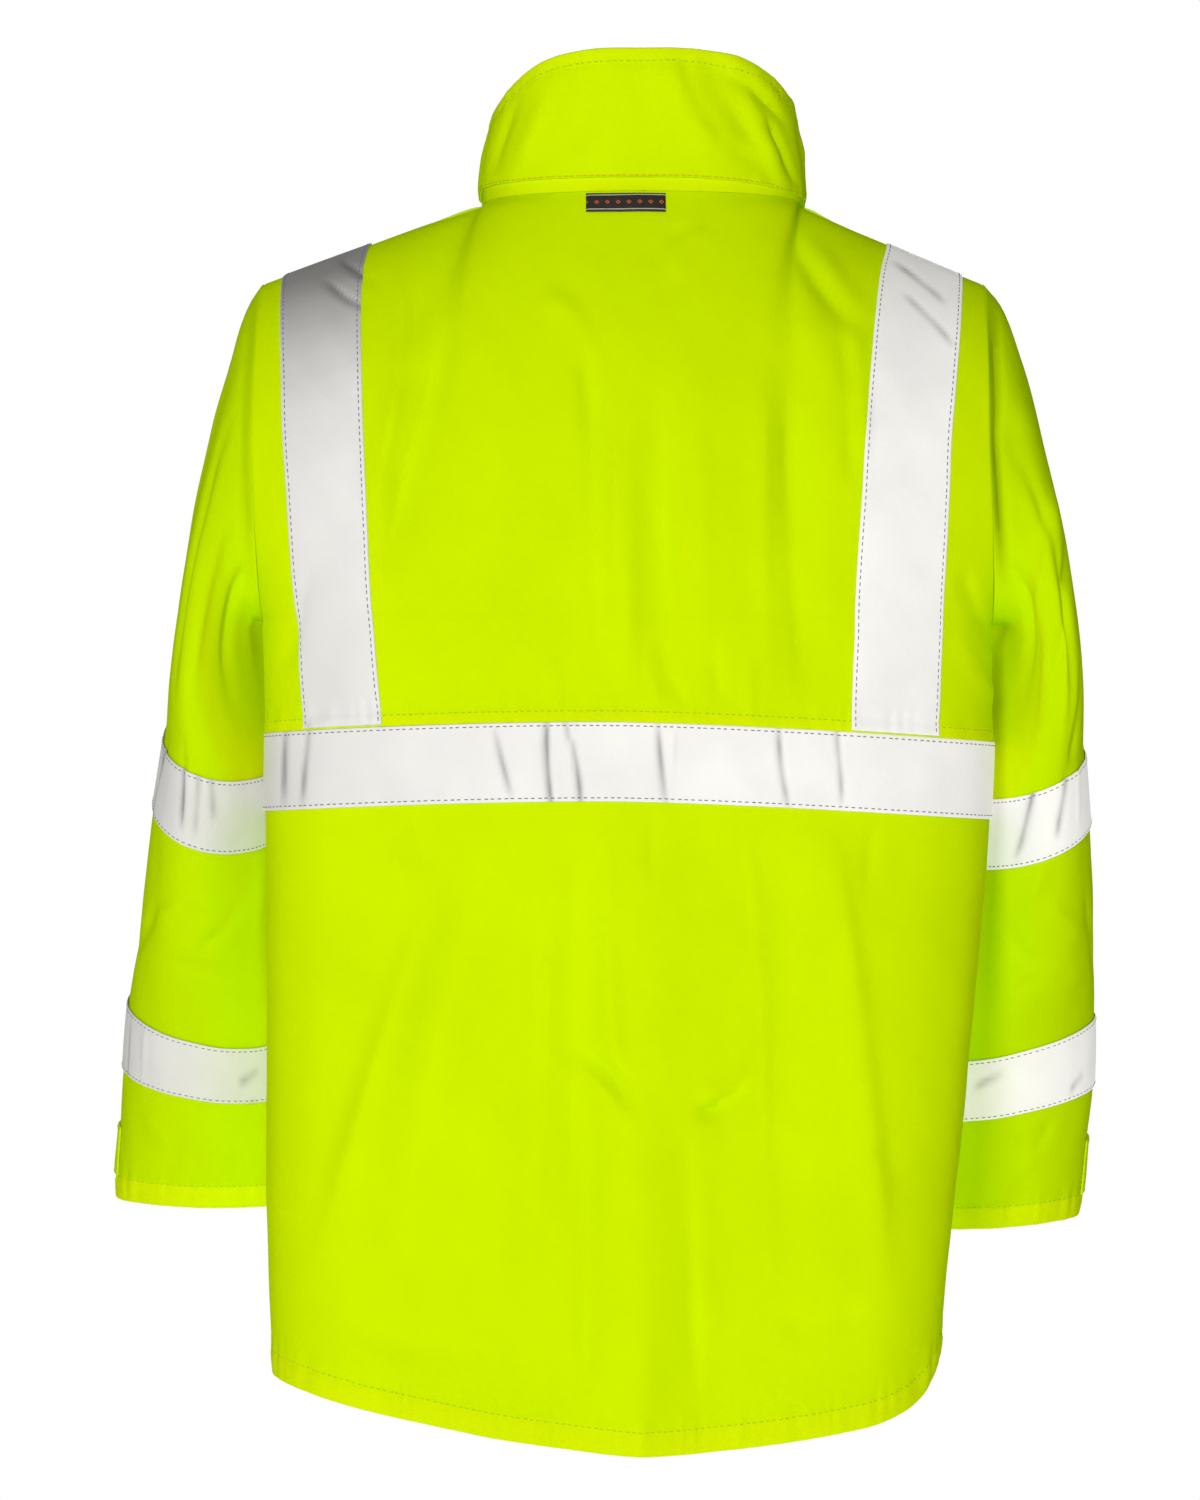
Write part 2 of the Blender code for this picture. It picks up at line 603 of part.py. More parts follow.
def armhole_loop(grids, normals, key):
    """Points, normals and directions away from the body round an armhole: up the back, down the front."""
    back_column, front_column, sign = (0, -1, -1.0) if key == "left" else (-1, 0, 1.0)
    points, outs = [], []
    for r in range(UNDERARM_ROW, SHOULDER_ROW + 1):
        points.append(grids["back"][r][back_column])
        outs.append(normals["back"][r][back_column])
    for r in range(SHOULDER_ROW - 1, UNDERARM_ROW, -1):
        points.append(grids[key][r][front_column])
        outs.append(normals[key][r][front_column])
    count = len(points)
    away = []
    for i in range(count):
        along = points[(i + 1) % count] - points[i - 1]
        away.append(along.cross(outs[i]).normalized() * sign)
    return points, outs, away


def section_point(section, turn, sign):
    """Point of a sleeve section: turn is -90 at the body side, 0 at the back, 90 outside."""
    outward = section.across * math.sin(turn)
    backward = section.deep * math.cos(turn)
    yaw = math.radians(section.yaw)
    across = outward * math.cos(yaw) + backward * math.sin(yaw)
    deep = backward * math.cos(yaw) - outward * math.sin(yaw)
    z = section.z + section.rise * math.sin(turn) - section.drop * math.cos(turn)
    return Vector((section.x + sign * across, section.y + deep, z))


def hermite(start, leave, end, arrive, t):
    """Point of a cubic curve from its ends and the directions in which it leaves and arrives."""
    return (start * (2 * t ** 3 - 3 * t ** 2 + 1) + leave * (t ** 3 - 2 * t ** 2 + t)
            + end * (3 * t ** 2 - 2 * t ** 3) + arrive * (t ** 3 - t ** 2))


def sleeve_grid(sections, grids, normals, key):
    """Rows from the armhole to the cuff, columns round the sleeve."""
    sign = 1.0 if key == "left" else -1.0
    points, outs, away = armhole_loop(grids, normals, key)
    count = len(points)
    turns = [math.radians(360.0 * i / count - 90.0) for i in range(count)]
    tube = [[section_point(section, turn, sign) for turn in turns] for section in sections]
    cap = []
    for station in CAP_STATIONS:
        line = []
        for i in range(count):
            start = points[i] + away[i] * SEAM_GAP
            end = tube[0][i]
            spread = outs[i] * UNDERARM_SPREAD * max(away[i].z, 0.0)
            leave = (away[i] + spread).normalized() * CAP_START_PULL[key]
            arrive = (tube[1][i] - end).normalized() * (end - start).length * CAP_END_PULL
            line.append(hermite(start, leave, end, arrive, station))
        cap.append(line)
    grid = cap + tube
    sleeve_normals = [[normal * sign for normal in line] for line in grid_normals(grid, around=True)]
    sleeve_normals[0] = [normal.copy() for normal in outs]
    return grid, sleeve_normals


def add_sleeve(key, sections, grids, normals):
    """Sleeve parts with their two tapes and the cuff tab, all from the sleeve's own rows."""
    grid, outs = sleeve_grid(sections, grids, normals, key)
    row_of = {section.name: len(CAP_STATIONS) + i for i, section in enumerate(sections)}

    def build(name, rows, columns, finish, thickness, lift, around, edges=()):
        piece = pulled_in(part_of(grid, rows, columns), edges)
        piece_normals = part_of(outs, rows, columns)
        if key == "right":
            piece, piece_normals = piece[::-1], piece_normals[::-1]
        wall(name, piece, piece_normals, finish, thickness, lift, around)

    every = range(len(grid[0]))
    ends = [0] + [row_of[name] for name in SLEEVE_JOINTS] + [len(grid) - 1]
    joined_edges = [("high",), ("low", "high"), ("low",)]
    for name, first, last, edges in zip(SLEEVE_PARTS, ends, ends[1:], joined_edges):
        rows = range(first, last + 1)
        build("sleeve_{}_{}".format(name, key), rows, every, SHELL, CLOTH, 0.0, True, edges)
    for where in ("upper", "lower"):
        rows = range(row_of[where + "_tape_top"], row_of[where + "_tape_end"] + 1)
        name = "sleeve_tape_{}_{}".format(where, key)
        build(name, rows, every, TAPE, TAPE_CLOTH, SEAM_GAP + TAPE_CLOTH, True)
    rows = range(row_of["tab_top"], row_of["tab_end"] + 1)
    first = len(grid[0]) // 2 - 1
    columns = range(first, first + TAB_LENGTH_COLUMNS)
    build("cuff_tab_" + key, rows, columns, SHELL, CLOTH, SEAM_GAP + CLOTH, False)


def neck_height(x, facing):
    side = "back" if facing >= 0.0 else "front"
    return top_line(side, x)[1]


def collar_top(x, facing):
    """Height of the collar's top edge: level behind, lower at the sides and lowest in front."""
    across = min(abs(x) / NECK_HALF_WIDTH, 1.0)
    side = COLLAR_TOP_LEFT if x > 0.0 else COLLAR_TOP_RIGHT
    if facing >= 0.0:
        return COLLAR_TOP_BACK - (COLLAR_TOP_BACK - side) * across ** COLLAR_SIDE_CURVE
    return side - (side - COLLAR_TOP_FRONT) * (-facing) ** COLLAR_FRONT_CURVE


def free_edge_height(x):
    """The outer collar's free edge stands above the neck seam, less on the wearer's right."""
    return COLLAR_FREE_EDGE - COLLAR_FREE_EDGE_DROP * max(-x / NECK_HALF_WIDTH, 0.0) ** COLLAR_FREE_EDGE_CURVE


def collar_column(turn, level, height):
    """Point of the collar at a turn from the back, a level from 0 to 1, and a given height."""
    half_width = NECK_HALF_WIDTH + (COLLAR_TOP_HALF_WIDTH - NECK_HALF_WIDTH) * level ** 2
    back = NECK_BACK + (COLLAR_TOP_BACK_DEPTH - NECK_BACK) * level
    front = NECK_FRONT + (COLLAR_TOP_FRONT_DEPTH - NECK_FRONT) * level
    power = 2.0 / NECK_SQUARENESS
    x = half_width * math.copysign(abs(math.sin(turn)) ** power, math.sin(turn))
    depth = back if math.cos(turn) > 0.0 else front
    y = depth * math.copysign(abs(math.cos(turn)) ** power, math.cos(turn))
    return Vector((x, y, height))


def collar_turns():
    """Turns of the collar's columns, from the left front edge round the back to the right one."""
    step = 90.0 / NECK_COLUMNS
    edge = 180.0 - math.degrees(math.asin((FRONT_EDGE / NECK_HALF_WIDTH) ** (NECK_SQUARENESS / 2.0)))
    half = [step * i for i in range(2 * NECK_COLUMNS)] + [edge]
    return [math.radians(t) for t in half[::-1]] + [math.radians(-t) for t in half[1:]]


def add_collar():
    """The inner collar rises from the neck seam. The outer one lies on it, above its free edge."""
    rows = [[] for _ in range(COLLAR_ROWS + 2)]
    for turn in collar_turns():
        foot = collar_column(turn, 0.0, 0.0)
        facing = math.cos(turn)
        neck = neck_height(foot.x, facing)
        top = collar_top(foot.x, facing)
        heights = [neck + 2.0 * SEAM_GAP]
        free = neck + free_edge_height(foot.x)
        heights += [free + (top - free) * i / COLLAR_ROWS for i in range(COLLAR_ROWS + 1)]
        for line, height in zip(rows, heights):
            level = (height - neck) / (top - neck)
            line.append(lean_over(collar_column(turn, level, height)))
    normals = grid_normals(rows)
    wall("collar_inner", rows, normals, SHELL_DOUBLED, CLOTH)
    wall("collar_outer", rows[1:], normals[1:], SHELL, COLLAR_CLOTH, SEAM_GAP + COLLAR_CLOTH)
    return rows, normals


def grid_at(grid, row, column):
    """Point on the faceted panel at a fractional row and column."""
    r = min(int(math.floor(row)), len(grid) - 2)
    c = min(int(math.floor(column)), len(grid[0]) - 2)
    down, across = row - r, column - c
    low = grid[r][c].lerp(grid[r][c + 1], across)
    high = grid[r + 1][c].lerp(grid[r + 1][c + 1], across)
    return low.lerp(high, down)


def add_label(grids, normals):
    grid, outs = grids["back"], normals["back"]
    top = len(grid) - 1
    half = (len(grid[0]) - 1) // 2
    rows = [top - LABEL_END, top - 1.0, top - LABEL_TOP]
    label_grid, label_normals = [], []
    for row in rows:
        step = (grid_at(grid, row, half) - grid_at(grid, row, half + 1)).length
        middle = half - (LABEL_MIDDLE_X - grid_at(grid, row, half).x) / step
        share = LABEL_HALF_WIDTH / step
        columns = [middle - share, half, middle + share]
        label_grid.append([grid_at(grid, row, c) for c in columns])
        label_normals.append([grid_at(outs, row, c).normalized() for c in columns])
    wall("back_label", label_grid, label_normals, LABEL, TAPE_CLOTH, 2.0 * SEAM_GAP + TAPE_CLOTH)


def zip_path(grids, normals, collar, collar_normals, key):
    """Edge point, point beside it and normal of each row, up one front and its collar edge."""
    edge, beside = (0, 1) if key == "left" else (-1, -2)
    path = [(line[edge], line[beside], outs[edge])
            for line, outs in zip(grids[key][:-1], normals[key][:-1])]
    foot_normal = (collar_normals[0][edge] + normals[key][-1][edge]).normalized()
    path.append((collar[0][edge], collar[0][beside], foot_normal))
    path += [(line[edge], line[beside], outs[edge])
             for line, outs in zip(collar[1:], collar_normals[1:])]
    return path


def zip_point(path_point, distance):
    """Point at a distance from the zip's middle, in the plane of the cloth beside it."""
    edge, beside, _ = path_point
    return edge + (beside - edge) * ((distance - FRONT_EDGE) / abs(beside.x - edge.x))


def add_zip_tapes(paths):
    """The zip's woven tapes lie behind the edges of the fronts and the collar."""
    for key, distances in (("left", (ZIP_TAPE_INNER, ZIP_TAPE_OUTER)),
                           ("right", (ZIP_TAPE_OUTER, ZIP_TAPE_INNER))):
        strip = [[zip_point(point, distance) for distance in distances] for point in paths[key]]
        outs = [[point[2], point[2]] for point in paths[key]]
        wall("zip_tape_" + key, strip, outs, ZIP_CLOTH, TAPE_CLOTH, -CLOTH - 2.0 * SEAM_GAP)


def add_zip(grids, normals, collar, collar_normals):
    """Zip tapes, closed chain and box. Returns the slider's place and the chain's direction there."""
    paths = {key: zip_path(grids, normals, collar, collar_normals, key) for key in ("left", "right")}
    add_zip_tapes(paths)
    middles, outs = [], []
    for left, right in zip(paths["left"], paths["right"]):
        middles.append((left[0] + right[0]) / 2.0)
        out = left[2] + right[2]
        outs.append(Vector((0.0, out.y, out.z)).normalized())
    foot, top = middles[0], middles[-1]
    rise = (middles[1] - foot).normalized()
    fall = (middles[-2] - top).normalized()
    middles[0] = foot + rise * (ZIP_BOX_HEIGHT + 2.0 * SEAM_GAP)
    middles[-1] = top + fall * (SLIDER_HEIGHT + 2.0 * SEAM_GAP)
    side = Vector((CHAIN_HALF_WIDTH, 0.0, 0.0))
    chain = [[middle - side, middle + side] for middle in middles]
    wall("zip_chain", chain, [[out, out] for out in outs], ZIP_PLASTIC, CHAIN_THICKNESS,
         CHAIN_THICKNESS / 2.0)
    add_zip_box(foot + rise * (ZIP_BOX_HEIGHT / 2.0), rise)
    return top + fall * (SLIDER_HEIGHT / 2.0)


def rounded_block(name, size, frame, finish, rounding):
    bm = bmesh.new()
    bmesh.ops.create_cube(bm, size=1.0)
    bmesh.ops.scale(bm, vec=size, verts=bm.verts)
    bmesh.ops.bevel(bm, geom=list(bm.edges), offset=rounding, segments=2, profile=0.5,
                    affect="EDGES")
    bmesh.ops.transform(bm, matrix=frame, verts=bm.verts)
    mesh = bpy.data.meshes.new(name)
    bm.to_mesh(mesh)
    bm.free()
    return add_object(name, mesh, finish)


def upright_frame(centre, up):
    """Frame with its Z along the zip and its -Y towards the front."""
    side = Vector((1.0, 0.0, 0.0))
    up = (up - side * up.dot(side)).normalized()
    turn = Matrix((side, up.cross(side), up)).transposed()
    return Matrix.Translation(centre) @ turn.to_4x4()


def add_zip_box(centre, up):
    rounded_block("zip_box", (ZIP_BOX_WIDTH, ZIP_BOX_DEPTH, ZIP_BOX_HEIGHT),
                  upright_frame(centre + Vector((0.0, -ZIP_BOX_FORWARD, 0.0)), up), ZIP_PLASTIC,
                  ZIP_BOX_ROUNDING)


def profile_solid(name, outline, hole, half_width, axis_frame):
    """Plate with a window: an outline and a hole in one plane, thickened to both sides."""
    bm = bmesh.new()
    rings = []
    for offset in (-half_width, half_width):
        rings.append(([bm.verts.new((offset, y, z)) for y, z in outline],
                      [bm.verts.new((offset, y, z)) for y, z in hole]))
    (low, low_hole), (high, high_hole) = rings
    count = len(outline)
    for i in range(count):
        j = (i + 1) % count
        bm.faces.new((low[i], low[j], high[j], high[i]))
        bm.faces.new((low_hole[j], low_hole[i], high_hole[i], high_hole[j]))
        bm.faces.new((low[j], low[i], low_hole[i], low_hole[j]))
        bm.faces.new((high[i], high[j], high_hole[j], high_hole[i]))
    bmesh.ops.recalc_face_normals(bm, faces=bm.faces)
    bmesh.ops.transform(bm, matrix=axis_frame, verts=bm.verts)
    mesh = bpy.data.meshes.new(name)
    bm.to_mesh(mesh)
    bm.free()
    return mesh


def add_slider(centre):
    """Slider body with a bridge in front, and the pull tab that swings on the bridge."""
    body_centre = centre + Vector((0.0, -SLIDER_FORWARD, 0.0))
    frame = upright_frame(body_centre, Vector((0.0, 0.0, 1.0)))
    slider = rounded_block("zip_slider", (SLIDER_WIDTH, SLIDER_DEPTH, SLIDER_HEIGHT), frame,
                           ZIP_METAL, SLIDER_ROUNDING)
    front = -SLIDER_DEPTH / 2.0
    reach = front - BRIDGE_OPENING - BRIDGE_BAR
    half = BRIDGE_HEIGHT / 2.0
    tapered = half * BRIDGE_TAPER
    outline = [(front + BRIDGE_SUNK, -half), (front + BRIDGE_SUNK, half), (reach, tapered),
               (reach, -tapered)]
    hole = [(front, -half + BRIDGE_BAR), (front, half - BRIDGE_BAR),
            (reach + BRIDGE_BAR, tapered - BRIDGE_BAR), (reach + BRIDGE_BAR, -tapered + BRIDGE_BAR)]
    bridge_mesh = profile_solid("bridge", outline, hole, BRIDGE_WIDTH / 2.0, frame)
    bridge = bpy.data.objects.new("bridge_cutter", bridge_mesh)
    bpy.context.scene.collection.objects.link(bridge)
    bridge.hide_render = True
    bridge.display_type = "WIRE"
    joined = slider.modifiers.new("bridge", "BOOLEAN")
    joined.operation = "UNION"
    joined.object = bridge
    hinge_z = -tapered + BRIDGE_BAR + PULL_CLEARANCE
    add_pull(body_centre + Vector((0.0, front - BRIDGE_OPENING / 2.0, hinge_z)))


def add_pull(pivot):
    """Pull tab: a plate with a window at its top, whose upper bar lies in the bridge."""
    holder = bpy.data.objects.new("zip_pull_pivot", None)
    holder.location = pivot
    bpy.context.scene.collection.objects.link(holder)
    bar = PULL_THICKNESS / 2.0
    half = PULL_WIDTH / 2.0
    window = PULL_WINDOW_HALF_WIDTH
    corner_z = bar - PULL_CORNER
    end_z = PULL_END_CORNER - PULL_LENGTH
    window_top = -bar - PULL_WINDOW_CORNER
    window_end = -bar - PULL_WINDOW_LENGTH
    narrow, tip = half * PULL_TAPER, half * PULL_END_TAPER
    outline = [(-half + PULL_CORNER, bar), (half - PULL_CORNER, bar), (half, corner_z),
               (narrow, end_z), (tip, -PULL_LENGTH), (-tip, -PULL_LENGTH), (-narrow, end_z),
               (-half, corner_z)]
    hole = [(-window, -bar), (window, -bar), (window, window_top), (window, window_end),
            (window / 2.0, window_end), (-window / 2.0, window_end), (-window, window_end),
            (-window, window_top)]
    turn = Matrix.Rotation(math.radians(90.0), 4, "Z")
    mesh = profile_solid("zip_pull", outline, hole, PULL_THICKNESS / 2.0, turn)
    pull = add_object("zip_pull", mesh, ZIP_METAL)
    pull.parent = holder


def main():
    clear_scene()
    grids, normals = make_body()
    add_panels(grids, normals)
    add_waist_tapes(grids, normals)
    add_brace_tapes(grids, normals)
    add_label(grids, normals)
    add_sleeve("left", SLEEVE_LEFT, grids, normals)
    add_sleeve("right", SLEEVE_RIGHT, grids, normals)
    collar, collar_normals = add_collar()
    add_slider(add_zip(grids, normals, collar, collar_normals))


main()
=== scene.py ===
import math
from collections import namedtuple

import bmesh
import bpy
import numpy as np
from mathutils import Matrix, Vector


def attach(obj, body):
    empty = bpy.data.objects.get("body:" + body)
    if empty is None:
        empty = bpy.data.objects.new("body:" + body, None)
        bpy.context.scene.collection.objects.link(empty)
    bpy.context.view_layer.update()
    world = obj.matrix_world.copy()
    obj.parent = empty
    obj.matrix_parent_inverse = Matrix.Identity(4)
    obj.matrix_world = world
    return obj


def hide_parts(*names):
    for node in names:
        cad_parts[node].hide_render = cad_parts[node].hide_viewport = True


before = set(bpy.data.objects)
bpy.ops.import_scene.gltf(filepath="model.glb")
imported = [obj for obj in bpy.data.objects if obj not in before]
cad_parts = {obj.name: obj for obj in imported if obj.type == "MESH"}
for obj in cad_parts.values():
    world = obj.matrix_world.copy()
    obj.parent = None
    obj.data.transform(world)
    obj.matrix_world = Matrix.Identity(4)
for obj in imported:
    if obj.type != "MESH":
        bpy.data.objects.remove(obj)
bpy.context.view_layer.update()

# ---------------------------------------------------------------------------------------------
# The studio: a long lens behind the jacket at chest height, a soft lamp beside it, one in front of
# the jacket, a weak one at either side and a pale surround. The floor lies where a wearer stands.
# ---------------------------------------------------------------------------------------------
CAMERA_PLACE = (0.028, 3.30, -0.362)
FRAME_HEIGHT_AT_JACKET = 0.999
SENSOR_HEIGHT_MM = 36.0
FLOOR_Z = -1.45
FLOOR_RADIUS = 3.8
FLOOR_CORNERS = 96
SURROUND_LIGHT = 0.26
SIDE_LIGHT = 0.04
Lamp = namedtuple("Lamp", "name x y z size power")
LAMPS = [
    Lamp("back_lamp", 0.60, 3.70, 0.30, 0.6, 73.0),
    Lamp("front_lamp", -0.50, -3.70, 0.10, 1.2, 84.0),
    Lamp("left_lamp", 3.40, 0.60, 0.60, 1.4, 4.0),
    Lamp("right_lamp", -3.60, 0.20, 0.90, 1.6, 4.0),
]
LAMP_AIM = Vector((0.0, 0.0, -0.38))
WHITE = (1.0, 1.0, 1.0, 1.0)


def linear(colour):
    """Linear RGBA of an sRGB hex colour."""
    channels = [int(colour[i:i + 2], 16) / 255.0 for i in (1, 3, 5)]
    return tuple(v / 12.92 if v <= 0.04045 else ((v + 0.055) / 1.055) ** 2.4 for v in channels) + (1.0,)


def fill(node, **sockets):
    """Give a node's sockets, each named or as i and its number, a value, a socket or a node's output."""
    for name, value in sockets.items():
        socket = node.inputs[int(name[1:]) if name[1:].isdigit() else name.replace("_", " ")]
        if isinstance(value, bpy.types.Node):
            value = next(output for output in value.outputs if output.enabled)
        if isinstance(value, bpy.types.NodeSocket):
            node.id_data.links.new(value, socket)
        else:
            socket.default_value = value
    return node


def add_node(tree, kind, settings=None, **sockets):
    """A shader node with its settings and links."""
    node = tree.nodes.new("ShaderNode" + kind)
    for name, value in (settings or {}).items():
        setattr(node, name, value)
    return fill(node, **sockets)


def new_material(name):
    """A new Principled material, its node tree and its shader."""
    material = bpy.data.materials.new(name)
    material.use_nodes = True
    return material, material.node_tree, material.node_tree.nodes["Principled BSDF"]


def link_object(name, data):
    item = bpy.data.objects.new(name, data)
    bpy.context.scene.collection.objects.link(item)
    return item


camera_data = bpy.data.cameras.new("camera")
camera_data.sensor_fit = "VERTICAL"
camera_data.sensor_height = SENSOR_HEIGHT_MM
camera_data.lens = SENSOR_HEIGHT_MM * CAMERA_PLACE[1] / FRAME_HEIGHT_AT_JACKET
camera = link_object("camera", camera_data)
camera.location = CAMERA_PLACE
camera.rotation_euler = (math.radians(90.0), 0.0, math.radians(180.0))
bpy.context.scene.camera = camera
bpy.context.scene.view_settings.view_transform = "Standard"

for lamp in LAMPS:
    light = bpy.data.lights.new(lamp.name, "AREA")
    light.size = lamp.size
    light.energy = lamp.power
    item = link_object(lamp.name, light)
    item.location = (lamp.x, lamp.y, lamp.z)
    item.rotation_euler = (LAMP_AIM - item.location).to_track_quat("-Z", "Y").to_euler()

world = bpy.data.worlds.new("surround")
world.use_nodes = True
bpy.context.scene.world = world
surround = world.node_tree
seen = add_node(surround, "LightPath").outputs["Is Camera Ray"]
direction = add_node(surround, "SeparateXYZ", Vector=add_node(surround, "TexCoord").outputs["Generated"])
sideways = add_node(surround, "Math", {"operation": "ABSOLUTE"}, i0=direction.outputs["X"])
light = add_node(surround, "MapRange", Value=sideways, From_Min=0.25, From_Max=0.85,
                 To_Min=SURROUND_LIGHT, To_Max=SIDE_LIGHT)
strength = add_node(surround, "MapRange", Value=seen, To_Min=light, To_Max=1.0)
fill(surround.nodes["Background"], Strength=strength, Color=WHITE)

# Matt white floor paint, faintly mottled
floor_paint, tree, shader = new_material("matt_floor_paint")
mottle = add_node(tree, "TexNoise", Scale=3.0, Detail=2.0)
tone = add_node(tree, "MapRange", Value=mottle, To_Min=0.86, To_Max=0.92)
fill(shader, Base_Color=add_node(tree, "CombineColor", Red=tone, Green=tone, Blue=tone), Roughness=0.8,
     Emission_Color=WHITE, Emission_Strength=0.30)
floor_mesh = bpy.data.meshes.new("floor")
bm = bmesh.new()
bmesh.ops.create_circle(bm, cap_ends=True, radius=FLOOR_RADIUS, segments=FLOOR_CORNERS)
bm.to_mesh(floor_mesh)
bm.free()
floor_mesh.materials.append(floor_paint)
floor = link_object("floor", floor_mesh)
floor.location.z = FLOOR_Z

# ---------------------------------------------------------------------------------------------
# The body: an upper back that ends in a folded hem above the waist tape, a lower back with a
# dropped hem, and two fronts. Each is cut from coated oxford polyester, sewn at the sides and
# shoulders, and hangs in broad soft folds over a hollow that the wearer fills.
# ---------------------------------------------------------------------------------------------
CLOTH = 0.0016
SEAM_GAP = 0.0003
TAPE_WIDTH = 0.0508
NECK_HALF_WIDTH = 0.1065
NECK_BACK = 0.074
NECK_FRONT = 0.086
NECK_BACK_RISE = 0.002
NECK_FRONT_DROP = 0.052
NECK_SQUARENESS = 2.3
NECK_DROP_CURVE = 1.6
SHOULDER_SLOPE = 0.392
ARMHOLE_X = 0.239
ARMHOLE_BACK = 0.083
ARMHOLE_FRONT = 0.075
SHOULDER_ROWS = 10
SHOULDER_MIDDLE_Z = -0.050
ARMHOLE_OUT_LIMIT = 0.97
CROWN_CHANGE = 0.030
CROWN_CHANGE_WIDTH = 0.130
CROWN_AT_SHOULDER = 2.2
CROWN_AT_NECK = 2.6
BACK_SQUARENESS = 3.4
FRONT_SQUARENESS = 1.75
HEM_CURVE = 1.6
HEM_LOW_POINT = -0.15
HEM_CORNER_LIFT = 0.032     # the hem rises into its corner on the wearer's right
HEM_CORNER_POWER = 20       # how near to the side seam it does so


def from_mm(kind, rows, plain=""):
    """Table rows in metres, given in millimetres; the fields named in plain keep their own unit."""
    return [kind(*(value if field in plain.split() or isinstance(value, str) else value / 1000.0
                   for field, value in zip(kind._fields, row))) for row in rows]


# Rings from the hem up to the underarm, in millimetres as all the tables are
BodyRow = namedtuple("BodyRow", "side_z back_z front_z half_width middle_y back_depth front_depth")
BODY = from_mm(BodyRow, [
    (-769, -814.5, -783, 218.5, 34, 92, 157),
    (-697, -725, -702, 223.5, 34, 95, 162),
    (-625, -640, -627, 228, 34, 97, 167),
    (-550, -556, -551, 231, 34, 99, 171),
    (-475, -475, -475, 234.5, 34, 100, 175),
    (-404.5, -395, -400, 237.5, 34, 101, 177),
    (-354, -344, -350, 238.5, 34, 101, 178),
    (-315, -310, -313, 238.5, 34, 101, 179),
    (-280, -280, -280, 239, 34, 101, 179),
])
TAPE_LOW_ROW = 5
TAPE_HIGH_ROW = 6
UNDERARM_ROW = 8
SHOULDER_ROW = UNDERARM_ROW + SHOULDER_ROWS

Lean = namedtuple("Lean", "height shift")
LEANS = from_mm(Lean, [
    (-820, 25.5), (-762, 24.1), (-680, 21.8), (-557.5, 15.9), (-434, 10.2), (-357, 8.7), (-280, 10),
    (-160, 15), (-54, 13), (-30, 9), (-12, 6), (0, 0), (100, 0),
])
# The middle of the body leans further than its sides, which the braces show
SWAYS = from_mm(Lean, [
    (-480, 0), (-400, 6), (-344, 9.4), (-266, 9.9), (-215, 7.2), (-176, 4.7), (-87, 3.4), (-50, 1.8),
    (-20, 0),
])
SWAY_POWER = 6
WAIST_TILT = 0.0125
WAIST_TILT_HEIGHT = -0.370
WAIST_TILT_REACH = 0.12

# Broad folds: from top to bottom across the panel, a positive depth is a ridge
Fold = namedtuple("Fold", "name top_x top_z bottom_x bottom_z half_width depth")
BACK_FOLDS = from_mm(Fold, [
    ("left_armhole_trough", 106, -75, 156, -270, 24, -3),
    ("left_blade_trough", 37, -90, 35, -335, 22, -3),
    ("spine_ridge", 2, -130, 0, -335, 20, 2.5),
    ("right_blade_ridge", -64, -80, -62, -335, 25, 3),
    ("right_armhole_trough", -108, -100, -112, -335, 24, -4),
    ("left_fan_ridge", 135, -405, 180, -900, 34, 3),
    ("left_fan_trough", 85, -405, 120, -900, 30, -5),
    ("left_centre_trough", 33, -405, 35, -900, 22, -3),
    ("centre_ridge", -12, -405, -20, -900, 30, 5),
    ("right_centre_trough", -92, -405, -72, -900, 30, -5),
    ("right_fan_ridge", -150, -405, -180, -900, 32, 3.5),
])
FRONT_FOLDS = from_mm(Fold, [
    ("left_chest_trough", 100, -90, 130, -330, 26, -3),
    ("right_chest_trough", -110, -80, -120, -335, 24, -3.5),
    ("left_skirt_ridge", 85, -410, 100, -900, 30, 4.5),
    ("left_skirt_trough", 140, -410, 165, -900, 28, -3.5),
    ("right_skirt_trough", -80, -410, -90, -900, 28, -4.5),
    ("right_skirt_ridge", -135, -410, -160, -900, 30, 4),
])
FOLD_FADE = 0.070

Brace = namedtuple("Brace", "height middle")
BRACES = from_mm(Brace, [
    (-820, 177), (-344, 177), (-157, 189), (-50, 198),
])
BRACE_HALF_WIDTH = 0.53 * TAPE_WIDTH
NECK_COLUMNS = 5
NECK_COLUMN_SPREAD = 0.024
FRONT_EDGE = 0.005
SIDE_COLUMNS = 4
BRACE_FIRST = NECK_COLUMNS + 2
BRACE_LAST = BRACE_FIRST + 2


def table_value(rows, height, field):
    """Value of a table's column at a height, in straight steps between its rows."""
    return float(np.interp(height, [row.height for row in rows], [getattr(row, field) for row in rows]))


def smooth(t):
    t = np.clip(t, 0.0, 1.0)
    return t * t * (3.0 - 2.0 * t)


def lean_over(point):
    """Shift a body point sideways with its height, and tilt the waist."""
    x, y, z = point
    reach = (z - WAIST_TILT_HEIGHT) / WAIST_TILT_REACH
    tilt = WAIST_TILT * x * math.exp(-reach * reach)
    inside = max(1.0 - abs(x / ARMHOLE_X) ** SWAY_POWER, 0.0)
    shift = table_value(LEANS, z, "shift") + inside * table_value(SWAYS, z, "shift")
    return Vector((x + shift, y, z + tilt))


def neck_shape(x):
    across = min(abs(x) / NECK_HALF_WIDTH, 1.0)
    return (1.0 - across ** NECK_SQUARENESS) ** (1.0 / NECK_SQUARENESS)


def shoulder_fall(x):
    return SHOULDER_SLOPE * max(abs(x) - NECK_HALF_WIDTH, 0.0)


